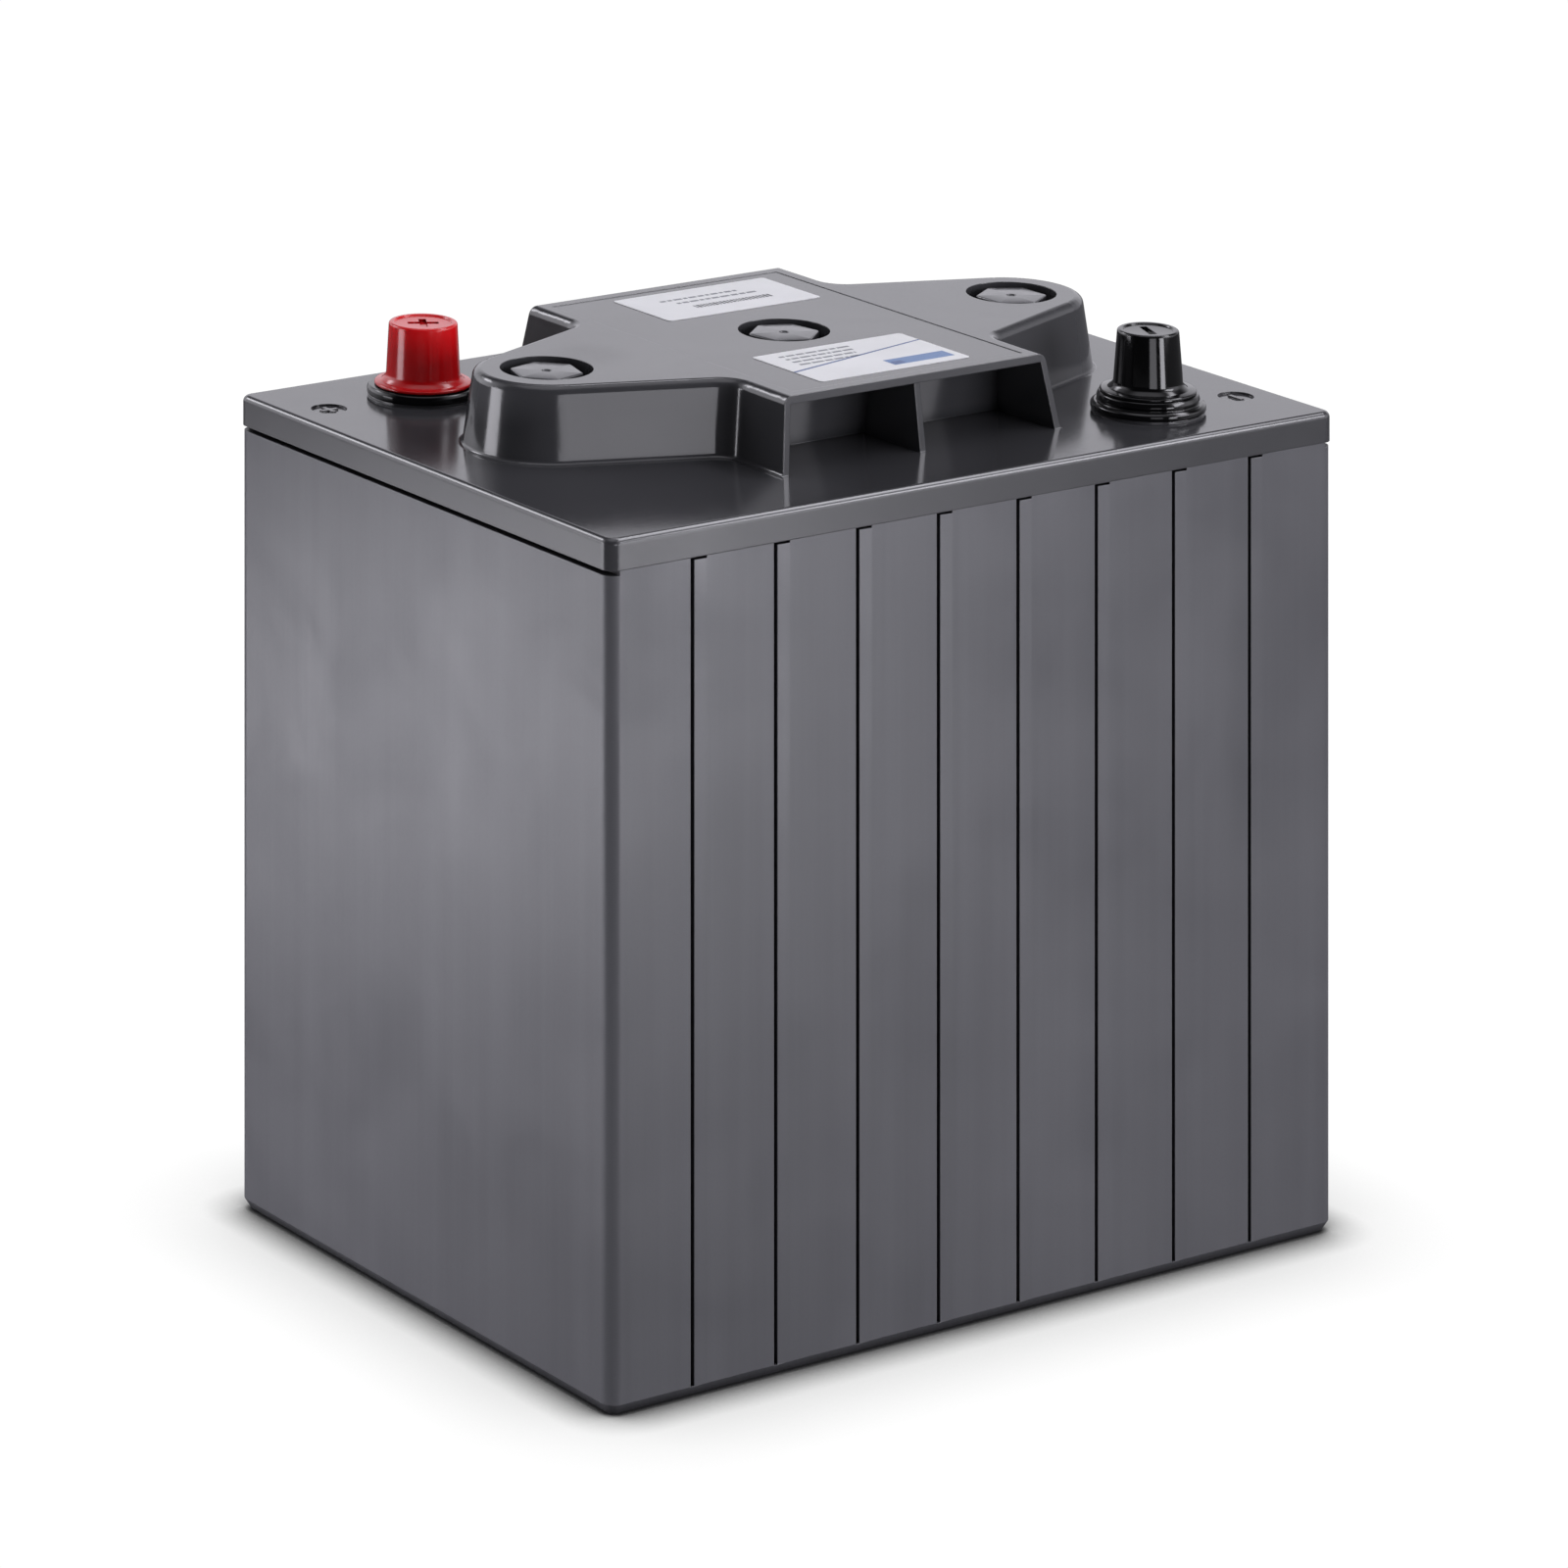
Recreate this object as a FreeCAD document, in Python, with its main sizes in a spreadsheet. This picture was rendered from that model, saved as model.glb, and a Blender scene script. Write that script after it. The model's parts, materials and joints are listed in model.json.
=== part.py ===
# A free-standing six-volt lead-acid block battery: a moulded case with three cells side by side,
# a heat-sealed lid with a raised grip block, three hexagonal valve plugs, two capped terminal
# posts at opposite corners, and the lead work inside.
# Frame: millimetres, +Z up, X along the long side, Y along the short side (front is -Y),
# origin at the centre of the underside of the case.
import FreeCAD, Part
import math
import os
import Sketcher
from FreeCAD import Vector

# Driving dimensions, alias: value. Text starting with "=" is a formula on earlier aliases.
# Names ending in low, top, plane, floor or roof are heights above the underside of the case;
# x and y endings are distances from the centre lines.
DIMENSIONS = {
    # clearances: fit_gap on bores and shanks, overrun where a cutting shape passes a face
    "fit_gap": 0.05, "overrun": 1.0,
    # lid
    "lid_length": 260.0, "lid_width": 181.0, "lid_corner": 3.7, "lid_overhang": 0.2,
    "shoulder": 228.2, "rim_low": "=shoulder", "lid_plane": 236.8, "lid_round": 1.8,
    "lid_underside": 233.0,
    # case
    "case_length": "=lid_length - 2*lid_overhang", "case_width": "=lid_width - 2*lid_overhang",
    "case_corner": 3.9, "foot_height": 3.0, "foot_inset": 2.0, "foot_round": 0.6,
    "neck_length": 252.8, "neck_width": 175.8, "neck_corner": 3.0, "seal_gap": 0.15,
    "notch_depth": 1.4, "notch_width": "=(case_length - neck_length)/2 + overrun",
    "cell_width": 169.8, "cell_length": 80.53, "cell_corner": 2.0, "partition": 2.6,
    "cell_pitch": "=cell_length + partition", "floor_thickness": 5.0,
    # saw-tooth grooves of the long sides
    "groove_width": 5.5, "slot_width": 1.35, "slot_depth": 2.2, "ramp_depth": 0.25,
    "flag_height": 0.75, "groove_pitch": 28.5, "groove_count": 8.0, "groove_low": 2.9,
    "groove_row": "=groove_pitch*(groove_count - 1)",
    # raised block of the lid
    "block_top": 258.0, "lobe_radius": 24.0, "plug_pitch": 85.0, "wing_x": 50.0, "wing_y": 63.6,
    "arm_slope": 0.375, "draft": 8.5, "arm_root_radius": 8.0, "edge_round": 2.6,
    "root_round": 1.2,
    # finger recesses under the wings, and their ribs
    "wing_wall": 2.0, "wing_roof": 2.3, "grip_roof": "=block_top - wing_roof",
    "grip_back": 38.0, "grip_front": "=wing_y + 10", "rib_thickness": 2.0,
    "rib_front": "=wing_y - 0.2", "rib_back": "=grip_back - 1", "rib_top": "=grip_roof + 0.2",
    # label field and gas spaces
    "field_length": 83.0, "field_width": 114.0, "field_depth": 0.15,
    "gas_length": 32.0, "gas_width": 28.0, "gas_top": 254.0, "gas_x": 42.5,
    # valve plugs
    "well_radius": 13.35, "well_floor": 248.0, "plug_hole_radius": 9.0,
    "seal_radius": 10.4, "seal_section": 0.9,
    "shank_radius": "=plug_hole_radius - fit_gap", "shank_low": 236.0,
    "flange_low": "=well_floor + 2*seal_section", "flange_top": 252.3, "flange_radius": 12.0,
    "hex_radius": 10.7, "hex_top": 257.3,
    "crown_low_radius": "=hex_radius + 3", "crown_top_radius": "=hex_radius - 0.6",
    "plug_bore_radius": 6.5, "plug_bore_top": 247.0,
    "seat_radius": 6.48, "seat_top": 239.0,
    "nozzle_radius": 3.5, "nozzle_top": 243.0, "nozzle_bore": 1.5,
    "valve_radius": 4.75, "valve_inner_radius": 3.55, "valve_low": 239.4, "valve_top": 244.6,
    # terminal posts
    "terminal_x": 84.4, "terminal_y": 61.8,
    "boss_radius": 16.2, "boss_height": 0.9, "boss_round": 0.4,
    "boss_top": "=lid_plane + boss_height",
    "post_neck_radius": 11.0, "neck_hole_radius": "=post_neck_radius + fit_gap",
    "post_low": 228.5, "post_flange_top": 231.8, "post_flange_radius": 15.0, "post_top": 255.4,
    "pos_low_radius": 9.73, "pos_top_radius": 8.75,
    "neg_low_radius": 8.93, "neg_top_radius": 7.95,
    "riser_radius": 6.5, "riser_bore": "=riser_radius + fit_gap", "riser_top": "=post_top - 0.5",
    # collars and caps
    "pos_collar_radius": 16.4, "pos_collar_top": 240.1,
    "neg_collar_radius": 16.6, "neg_collar_step": 240.1,
    "neg_collar_top_radius": 14.9, "neg_collar_top": 242.4, "collar_gap": 0.06,
    "pos_cap_radius": 10.95, "pos_cap_top_radius": 10.0, "pos_cap_top": 258.2,
    "neg_cap_radius": 10.15, "neg_cap_top_radius": 8.85, "neg_cap_top": 260.4,
    "pos_brim_radius": 14.2, "neg_brim_radius": 13.9, "brim_height": 1.3, "cap_gap": 0.08,
    "mark_depth": 0.8, "mark_length": 9.0, "mark_width": 2.2,
    "pos_mark_turn": -31.0, "neg_mark_turn": -21.0,
    # polarity signs moulded in the lid
    "sign_x": 116.8, "sign_y": 62.9, "sign_radius": 5.25, "sign_depth": 0.6,
    "sign_height": 0.45, "sign_length": 5.6, "sign_width": 1.3,
    # labels
    "label_thickness": "=field_depth",
    "rear_length": 56.0, "rear_width": 28.0, "rear_x": 5.7, "rear_y": 39.2,
    "front_length": 54.0, "front_width": 32.0, "front_x": -0.8, "front_y": -36.6,
    # plates and separators
    "plate_width": 155.0, "plate_low": 7.0, "plate_top": 189.0,
    "lug_width": 12.0, "lug_top": 203.0, "lug_y": 50.0,
    "neg_thickness": 2.6, "pos_thickness": 3.4, "mat_thickness": 1.7,
    "plate_pitch": "=neg_thickness + pos_thickness + 2*mat_thickness",
    "pos_count": 8, "neg_count": "=pos_count + 1",
    "pack_length": "=pos_count*plate_pitch + neg_thickness",
    "mat_width": 163.0, "mat_top": 196.0,
    # straps and links
    "strap_top": 211.0, "strap_width": 16.0, "strap_reach": "=(cell_length - pack_length)/2",
    "tab_top": 226.0, "tab_thickness": 3.0, "end_strap_width": 27.0, "end_strap_y": 55.5,
    "link_radius": 6.0, "link_hole_radius": "=link_radius + fit_gap", "link_z": 218.0,
}

# x of the three cells, then (x, y) of the two welds through the partitions
CELL_X = ("-@cell_pitch", "0", "@cell_pitch")
LINKS = (("-@cell_pitch/2", "-@lug_y"), ("@cell_pitch/2", "@lug_y"))
# (x, turn of the hexagon in degrees)
PLUGS = (("-@plug_pitch", 13.0), ("0", 39.0), ("@plug_pitch", 32.0))
# (polarity, alias prefix, x, y)
TERMINALS = (("positive", "pos", "-@terminal_x", "@terminal_y"),
             ("negative", "neg", "@terminal_x", "-@terminal_y"))
# (side, direction of its face along Y)
SIDES = (("Front", -1), ("Back", 1))

# Sketcher's numbers for the axes and for the points of an element
X_AXIS, Y_AXIS = -1, -2
START, END, CENTRE = 1, 2, 3
ORIGIN = (X_AXIS, START)

doc = FreeCAD.newDocument("BlockBattery")
pieces = []


def fill_sheet():
    """Write the dimensions to the sheet and return their values by alias."""
    sheet = doc.addObject("Spreadsheet::Sheet", "Spec")
    for row, (alias, value) in enumerate(DIMENSIONS.items(), 1):
        sheet.set(f"A{row}", alias)
        sheet.set(f"B{row}", str(value))
        sheet.setAlias(f"B{row}", alias)
    doc.recompute()
    return {alias: float(sheet.get(alias)) for alias in DIMENSIONS}


size = fill_sheet()


def set_formula(obj, path, formula):
    """Bind a property; '@name' in the formula is a cell of the sheet."""
    obj.setExpression(path, formula.replace("@", "Spec."))


def bind(obj, **formulas):
    for name, formula in formulas.items():
        set_formula(obj, name, formula)


def place(obj, x, y, z):
    for axis, formula in zip("xyz", (x, y, z)):
        set_formula(obj, f"Placement.Base.{axis}", formula)
    return obj


def piece(obj, label):
    """Label a finished piece and list it for export."""
    obj.Label = label
    pieces.append(obj)


def turned(axis, angle):
    return FreeCAD.Placement(Vector(0, 0, 0), FreeCAD.Rotation(axis, angle))


# ---------------------------------------------------------------- Part primitives
def box(name, length, width, height, x, y, z):
    """Box given by its size and the centre of its footprint, standing on z."""
    obj = doc.addObject("Part::Box", name)
    bind(obj, Length=length, Width=width, Height=height)
    return place(obj, f"({x}) - ({length})/2", f"({y}) - ({width})/2", z)


def cylinder(name, radius, low, high, x, y="0"):
    obj = doc.addObject("Part::Cylinder", name)
    bind(obj, Radius=radius, Height=f"({high}) - ({low})")
    return place(obj, x, y, low)


def cone(name, low_radius, top_radius, low, high, x, y="0"):
    obj = doc.addObject("Part::Cone", name)
    bind(obj, Radius1=low_radius, Radius2=top_radius, Height=f"({high}) - ({low})")
    return place(obj, x, y, low)


def fuse(name, *parts):
    obj = doc.addObject("Part::MultiFuse", name)
    obj.Shapes = list(parts)
    obj.Refine = True
    return obj


def cut(name, base, tool):
    obj = doc.addObject("Part::Cut", name)
    obj.Base = base
    obj.Tool = tool
    return obj


# ---------------------------------------------------------------- sketches
def origin_feature(body, role):
    return next(f for f in body.Origin.OriginFeatures if f.Role == role)


def new_sketch(body, name, plane="XY_Plane", x="0", y="0", z="0"):
    """Empty sketch; x, y and z shift it in the plane's own axes, z along the normal."""
    sk = body.newObject("Sketcher::SketchObject", name)
    sk.AttachmentSupport = [(origin_feature(body, plane), "")]
    sk.MapMode = "FlatFace"
    for axis, formula in zip("xyz", (x, y, z)):
        set_formula(sk, f"AttachmentOffset.Base.{axis}", formula)
    return sk


def constrain(sk, formula, *constraint):
    """Add a dimension and drive it by a formula."""
    index = sk.addConstraint(Sketcher.Constraint(*constraint))
    set_formula(sk, f"Constraints[{index}]", formula)


def distance(sk, kind, element, point, value, formula):
    """Distance of a point from the origin along one axis; value gives its side and start size."""
    if value > 0:
        ends = (*ORIGIN, element, point)
    else:
        ends = (element, point, *ORIGIN)
    constrain(sk, formula, kind, *ends, abs(value))


def line(sk, start, end):
    return sk.addGeometry(Part.LineSegment(Vector(*start, 0), Vector(*end, 0)), False)


def quad(sk, points):
    """Closed outline of four lines, joined at their ends."""
    lines = [line(sk, points[i], points[(i + 1) % 4]) for i in range(4)]
    for i in range(4):
        sk.addConstraint(
            Sketcher.Constraint("Coincident", lines[i], END, lines[(i + 1) % 4], START))
    return lines


def rectangle(body, name, width, depth, **position):
    """Sketch of a rectangle centred on the sketch's origin."""
    sk = new_sketch(body, name, **position)
    a, b = 10.0, 6.0
    lines = quad(sk, [(-a, -b), (a, -b), (a, b), (-a, b)])
    for i, kind in enumerate(("Horizontal", "Vertical", "Horizontal", "Vertical")):
        sk.addConstraint(Sketcher.Constraint(kind, lines[i]))
    sk.addConstraint(Sketcher.Constraint("Symmetric", lines[0], START, lines[1], END, *ORIGIN))
    constrain(sk, width, "DistanceX", lines[0], START, lines[0], END, 2 * a)
    constrain(sk, depth, "DistanceY", lines[1], START, lines[1], END, 2 * b)
    return sk


def circle(sk, radius, x=None, y=None):
    """Circle at x, y: each a formula with or without a leading minus, None on the axis."""
    def rough(formula):
        if formula is None:
            return 0.0
        return -30.0 if formula.startswith("-") else 30.0

    centre = Vector(rough(x), rough(y), 0)
    ring = sk.addGeometry(Part.Circle(centre, Vector(0, 0, 1), 3.0), False)
    constrain(sk, radius, "Radius", ring, 3.0)
    for kind, formula, value, axis in (("DistanceX", x, centre.x, Y_AXIS),
                                       ("DistanceY", y, centre.y, X_AXIS)):
        if formula is None:
            sk.addConstraint(Sketcher.Constraint("PointOnObject", ring, CENTRE, axis))
        else:
            distance(sk, kind, ring, CENTRE, value, formula.lstrip("-"))


def plug_circles(body, name, radius, z):
    """A circle at each of the three plugs."""
    sk = new_sketch(body, name, z=z)
    for x in (None, "@plug_pitch", "-@plug_pitch"):
        circle(sk, radius, x)
    return sk


def corner_circles(body, name, radius, x, y, z):
    """A circle at the rear left and at the front right."""
    sk = new_sketch(body, name, z=z)
    circle(sk, radius, "-" + x, y)
    circle(sk, radius, x, "-" + y)
    return sk


# ---------------------------------------------------------------- PartDesign features
def new_body(name):
    body = doc.addObject("PartDesign::Body", name)
    body.AllowCompound = True
    return body


def pad(body, name, sk, length, taper=None, midplane=False):
    feature = body.newObject("PartDesign::Pad", name)
    feature.Profile = sk
    bind(feature, Length=length)
    if taper is not None:
        bind(feature, TaperAngle=taper)
    if midplane:
        feature.SideType = "Symmetric"
    sk.Visibility = False
    doc.recompute()
    return feature


def pocket(body, name, sk, length, up=False, taper=None, midplane=False):
    """Pocket against the sketch's normal, or along it if up is set; the volume has to fall."""
    doc.recompute()
    before = body.Shape.Volume
    feature = body.newObject("PartDesign::Pocket", name)
    feature.Profile = sk
    bind(feature, Length=length)
    feature.Reversed = up
    if taper is not None:
        bind(feature, TaperAngle=taper)
    if midplane:
        feature.SideType = "Symmetric"
    doc.recompute()
    assert body.Shape.Volume < before - 1e-3, name + " removed nothing"
    return feature


def fillet(body, name, base, test, radius):
    """Round the edges of base that pass the test."""
    feature = body.newObject("PartDesign::Fillet", name)
    feature.Base = (base, pick(base.Shape, test))
    bind(feature, Radius=radius)
    doc.recompute()
    return feature


def row_along_x(body, name, originals, length, count, backwards=False):
    feature = body.newObject("PartDesign::LinearPattern", name)
    feature.Originals = originals
    feature.Direction = (origin_feature(body, "X_Axis"), [""])
    feature.Reversed = backwards
    bind(feature, Length=length, Occurrences=count)
    body.Tip = feature
    doc.recompute()


def pick(shape, test):
    return [f"Edge{i}" for i, edge in enumerate(shape.Edges, 1) if test(edge)]


def upright(edge):
    a, b = edge.Vertexes[0].Point, edge.Vertexes[-1].Point
    straight = edge.Curve.TypeId == "Part::GeomLine"
    return straight and abs(a.x - b.x) + abs(a.y - b.y) < 1e-4 and abs(a.z - b.z) > 0.5


def level(edge, z):
    bounds = edge.BoundBox
    return abs(bounds.ZMin - z) < 0.05 and abs(bounds.ZMax - z) < 0.05


# ---------------------------------------------------------------- case
def case_block(case):
    """Outer block with rounded corners and a bevelled foot."""
    def bevel_fits():
        return any(abs(v.Point.z - size["foot_height"]) <= 1e-4 for v in bevel.Shape.Vertexes)

    block = pad(case, "CaseBlock", rectangle(case, "CaseOutline", "@case_length", "@case_width"),
                "@shoulder")
    corners = fillet(case, "CaseCorners", block, upright, "@case_corner")
    # the foot bevel is taller than it is deep
    bevel = case.newObject("PartDesign::Chamfer", "FootBevel")
    bevel.Base = (corners, pick(corners.Shape, lambda e: level(e, 0)))
    bevel.ChamferType = "Two distances"
    bind(bevel, Size="@foot_height", Size2="@foot_inset")
    doc.recompute()
    # which distance runs up the wall depends on the order of the faces at the edge
    if not bevel_fits():
        bevel.FlipDirection = True
        doc.recompute()
    assert bevel_fits()
    fillet(case, "FootRound", bevel, lambda e: level(e, 0), "@foot_round")


def case_neck_and_cells(case):
    neck = pad(case, "CaseNeck", rectangle(case, "NeckOutline", "@neck_length", "@neck_width",
                                           z="@shoulder"), "@lid_underside - @shoulder")
    fillet(case, "NeckCorners", neck,
           lambda e: upright(e) and e.BoundBox.ZMin > size["shoulder"] - 0.01, "@neck_corner")
    # the shoulder drops at the short ends, which leaves an open joint under the lid's rim there
    for k, sign in ((1, "-"), (2, "")):
        outline = rectangle(case, f"EndNotch{k}Outline", "@notch_width",
                            "@case_width + 2*@overrun",
                            x=f"{sign}(@neck_length + @notch_width)/2", z="@shoulder")
        pocket(case, f"EndNotch{k}", outline, "@notch_depth")
    for k, x in enumerate(CELL_X, 1):
        outline = rectangle(case, f"CellOutline{k}", "@cell_length", "@cell_width",
                            x=x, z="@lid_underside")
        pocket(case, f"Cell{k}", outline, "@lid_underside - @floor_thickness")

    def cell_corner(edge):
        bounds = edge.BoundBox
        return (upright(edge) and abs(abs(bounds.YMin) - size["cell_width"] / 2) < 0.1
                and bounds.ZMax > size["lid_underside"] - 1)

    fillet(case, "CellCorners", case.Tip, cell_corner, "@cell_corner")


def ramp_outline(case, side, face):
    """Wedge in plan: deepest at the slot, nothing at the far side.

    The back outline is the front one turned half a turn about Z."""
    half = size["groove_width"] / 2
    y_face = size["case_width"] / 2
    x = -size["groove_row"] / 2
    front = [(x - half, -y_face - size["overrun"]), (x + half, -y_face - size["overrun"]),
             (x + half, -y_face), (x - half, -y_face + size["ramp_depth"])]
    points = [(-face * x, -face * y) for x, y in front]
    sk = new_sketch(case, side + "RampOutline", z="@shoulder")
    lines = quad(sk, points)
    for kind, i in (("Horizontal", 0), ("Vertical", 1), ("Vertical", 3)):
        sk.addConstraint(Sketcher.Constraint(kind, lines[i]))
    for kind, i, point, value, formula in (
            ("DistanceX", 0, START, points[0][0], "@groove_row/2 + @groove_width/2"),
            ("DistanceX", 0, END, points[1][0], "@groove_row/2 - @groove_width/2"),
            ("DistanceY", 0, START, points[0][1], "@case_width/2 + @overrun"),
            ("DistanceY", 2, START, points[2][1], "@case_width/2"),
            ("DistanceY", 3, START, points[3][1], "@case_width/2 - @ramp_depth")):
        distance(sk, kind, lines[i], point, value, formula)
    return sk


def grooves(case, side, face):
    """Row of upright saw-tooth grooves: each a narrow deep slot on one side, a floor that runs
    out to the face on the other, and a deeper flag-shaped pocket at its top, under the rim."""
    # the XZ plane's normal is -Y
    z = "@case_width/2" if face < 0 else "-@case_width/2"
    start = "-@groove_row/2" if face < 0 else "@groove_row/2"
    lean = "-" if face < 0 else "+"
    slot_outline = rectangle(case, side + "SlotOutline", "@slot_width", "@shoulder - @groove_low",
                             plane="XZ_Plane", x=f"{start} {lean} (@groove_width - @slot_width)/2",
                             y="(@shoulder + @groove_low)/2", z=z)
    slot = pocket(case, side + "Slot", slot_outline, "@slot_depth", up=face > 0)
    flag_outline = rectangle(case, side + "FlagOutline", "@groove_width", "@flag_height",
                             plane="XZ_Plane", x=start, y="@shoulder - @flag_height/2", z=z)
    flag = pocket(case, side + "Flag", flag_outline, "@slot_depth", up=face > 0)
    ramp = pocket(case, side + "Ramp", ramp_outline(case, side, face), "@shoulder - @groove_low")
    before = case.Shape.Volume
    row_along_x(case, side + "Grooves", [slot, flag, ramp], "@groove_row", "@groove_count",
                backwards=face > 0)
    assert case.Shape.Volume < before - 100, side


def make_case():
    case = new_body("Case")
    case_block(case)
    case_neck_and_cells(case)
    for side, face in SIDES:
        grooves(case, side, face)
    # openings for the through-the-partition welds
    for k, (x, y) in enumerate(LINKS, 1):
        sk = new_sketch(case, f"LinkHole{k}Outline", "YZ_Plane", x=y, y="@link_z", z=x)
        circle(sk, "@link_hole_radius")
        pocket(case, f"LinkHole{k}", sk, "@partition + @overrun", midplane=True)
    piece(case, "case")


# ---------------------------------------------------------------- lid
def lid_slab(lid):
    """Slab with a downward rim, hollowed to take the neck of the case."""
    slab = pad(lid, "LidSlab", rectangle(lid, "LidOutline", "@lid_length", "@lid_width",
                                         z="@rim_low"), "@lid_plane - @rim_low")
    corners = fillet(lid, "LidCorners", slab, upright, "@lid_corner")
    fillet(lid, "LidEdge", corners, lambda e: level(e, size["lid_plane"]), "@lid_round")
    socket = rectangle(lid, "SocketOutline", "@neck_length + 2*@seal_gap",
                       "@neck_width + 2*@seal_gap", z="@rim_low")
    pocket(lid, "LidSocket", socket, "@lid_underside - @rim_low", up=True)


def block_outline(lid):
    """Two round-ended arms through the plugs and a wide wing to the front and the back."""
    sk = new_sketch(lid, "BlockOutline", z="@lid_plane")
    radius, pitch = size["lobe_radius"], size["plug_pitch"]
    wing_x, wing_y, slope = size["wing_x"], size["wing_y"], size["arm_slope"]
    angle = math.atan(slope)
    # where arm side and lobe meet, and where arm side meets wing side
    lobe_x, lobe_y = pitch + radius * math.sin(angle), radius * math.cos(angle)
    root_y = lobe_y + (lobe_x - wing_x) * slope
    lobe_formula = "@lobe_radius*cos(atan(@arm_slope))"
    root_formula = (lobe_formula + " + (@plug_pitch + @lobe_radius*sin(atan(@arm_slope))"
                    " - @wing_x)*@arm_slope")

    points = [(-lobe_x, -lobe_y), (-wing_x, -root_y), (-wing_x, -wing_y),
              (wing_x, -wing_y), (wing_x, -root_y), (lobe_x, -lobe_y),
              (lobe_x, lobe_y), (wing_x, root_y), (wing_x, wing_y),
              (-wing_x, wing_y), (-wing_x, root_y), (-lobe_x, lobe_y)]
    # elements 5 and 11 are the lobes, their side of X given here
    lobes = {5: 1, 11: -1}
    count = len(points)
    parts = []
    for i in range(count):
        start, end = points[i], points[(i + 1) % count]
        if i in lobes:
            middle = Vector(lobes[i] * (pitch + radius), 0, 0)
            arc = Part.Arc(Vector(*start, 0), middle, Vector(*end, 0))
            parts.append(sk.addGeometry(arc, False))
        else:
            parts.append(line(sk, start, end))

    # arcs keep their own sense, so join whichever ends touch
    for i in range(count):
        this, following = parts[i], parts[(i + 1) % count]
        _, a, b = min(((sk.getPoint(this, a) - sk.getPoint(following, b)).Length, a, b)
                      for a in (START, END) for b in (START, END))
        sk.addConstraint(Sketcher.Constraint("Coincident", this, a, following, b))
    for i in (2, 8):
        sk.addConstraint(Sketcher.Constraint("Horizontal", parts[i]))
    for i in (1, 3, 7, 9):
        sk.addConstraint(Sketcher.Constraint("Vertical", parts[i]))
    # opposite wing corners mirror through the centre
    sk.addConstraint(Sketcher.Constraint("Symmetric", parts[2], START, parts[8], START, *ORIGIN))
    constrain(sk, "2*@wing_x", "DistanceX", parts[2], START, parts[2], END, 2 * wing_x)
    constrain(sk, "2*@wing_y", "DistanceY", parts[2], END, parts[8], START, 2 * wing_y)
    for i, sign in lobes.items():
        constrain(sk, "@lobe_radius", "Radius", parts[i], radius)
        sk.addConstraint(Sketcher.Constraint("PointOnObject", parts[i], CENTRE, X_AXIS))
        distance(sk, "DistanceX", parts[i], CENTRE, sign * pitch, "@plug_pitch")
    # arm sides: (element, its end at the wing, its end at the lobe, side of Y)
    for i, inner, outer, sign in ((0, END, START, -1), (4, START, END, -1),
                                  (6, END, START, 1), (10, START, END, 1)):
        distance(sk, "DistanceY", parts[i], inner, sign * root_y, root_formula)
        distance(sk, "DistanceY", parts[i], outer, sign * lobe_y, lobe_formula)
    return sk


def raised_block(lid):
    def arm_root(edge):
        """The inside corners where arm and wing meet."""
        bounds = edge.BoundBox
        return (bounds.ZMax - bounds.ZMin > 5 and bounds.ZMax > size["block_top"] - 0.05
                and abs(abs(bounds.Center.x) - size["wing_x"]) < 5
                and 25 < abs(bounds.Center.y) < 45)

    def top_edge(edge):
        """The top outline without the straight front and back edges of the wings."""
        bounds = edge.BoundBox
        wing_front = abs(bounds.YMax - bounds.YMin) < 0.05 and abs(bounds.Center.y) > 50
        return level(edge, size["block_top"]) and not wing_front

    def foot_edge(edge):
        """Where the walls rise from the lid, everywhere but under the open wing fronts."""
        bounds = edge.BoundBox
        return (level(edge, size["lid_plane"]) and abs(bounds.Center.y) < size["wing_y"] - 1
                and abs(bounds.Center.x) < 110 and bounds.DiagonalLength < 100)

    block = pad(lid, "BlockPad", block_outline(lid), "@block_top - @lid_plane", taper="-@draft")
    roots = fillet(lid, "ArmRoots", block, arm_root, "@arm_root_radius")
    rounded = fillet(lid, "BlockRound", roots, top_edge, "@edge_round")
    fillet(lid, "BlockRoot", rounded, foot_edge, "@root_round")


def rib(lid, side, face):
    """Upright rib in the middle of a finger recess, its outer edge leaning with the draft."""
    sk = new_sketch(lid, side + "RibOutline", "YZ_Plane")
    lean = math.tan(math.radians(size["draft"])) * (size["grip_roof"] - size["lid_plane"])
    back, front = face * size["rib_back"], face * size["rib_front"]
    front_top = face * (size["rib_front"] - lean)
    low, top = size["lid_plane"], size["rib_top"]
    lines = quad(sk, [(back, low), (front, low), (front_top, top), (back, top)])
    for kind, i in (("Horizontal", 0), ("Horizontal", 2), ("Vertical", 3)):
        sk.addConstraint(Sketcher.Constraint(kind, lines[i]))
    for kind, i, point, value, formula in (
            ("DistanceX", 0, START, back, "@rib_back"),
            ("DistanceX", 0, END, front, "@rib_front"),
            ("DistanceX", 1, END, front_top,
             "@rib_front - tan(@draft*1deg)*(@grip_roof - @lid_plane)"),
            ("DistanceY", 0, START, low, "@lid_plane"),
            ("DistanceY", 2, START, top, "@rib_top")):
        distance(sk, kind, lines[i], point, value, formula)
    pad(lid, side + "Rib", sk, "@rib_thickness", midplane=True)


def finger_recesses(lid):
    """Recess under each wing, open to the side, with one rib in the middle."""
    for side, face in SIDES:
        sign = "-" if face < 0 else ""
        outline = rectangle(lid, side + "GripOutline", "2*@wing_x - 2*@wing_wall",
                            "@grip_front - @grip_back",
                            y=sign + "(@grip_back + @grip_front)/2", z="@lid_plane")
        pocket(lid, side + "Grip", outline, "@grip_roof - @lid_plane", up=True, taper="-@draft")
    for side, face in SIDES:
        rib(lid, side, face)


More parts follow.
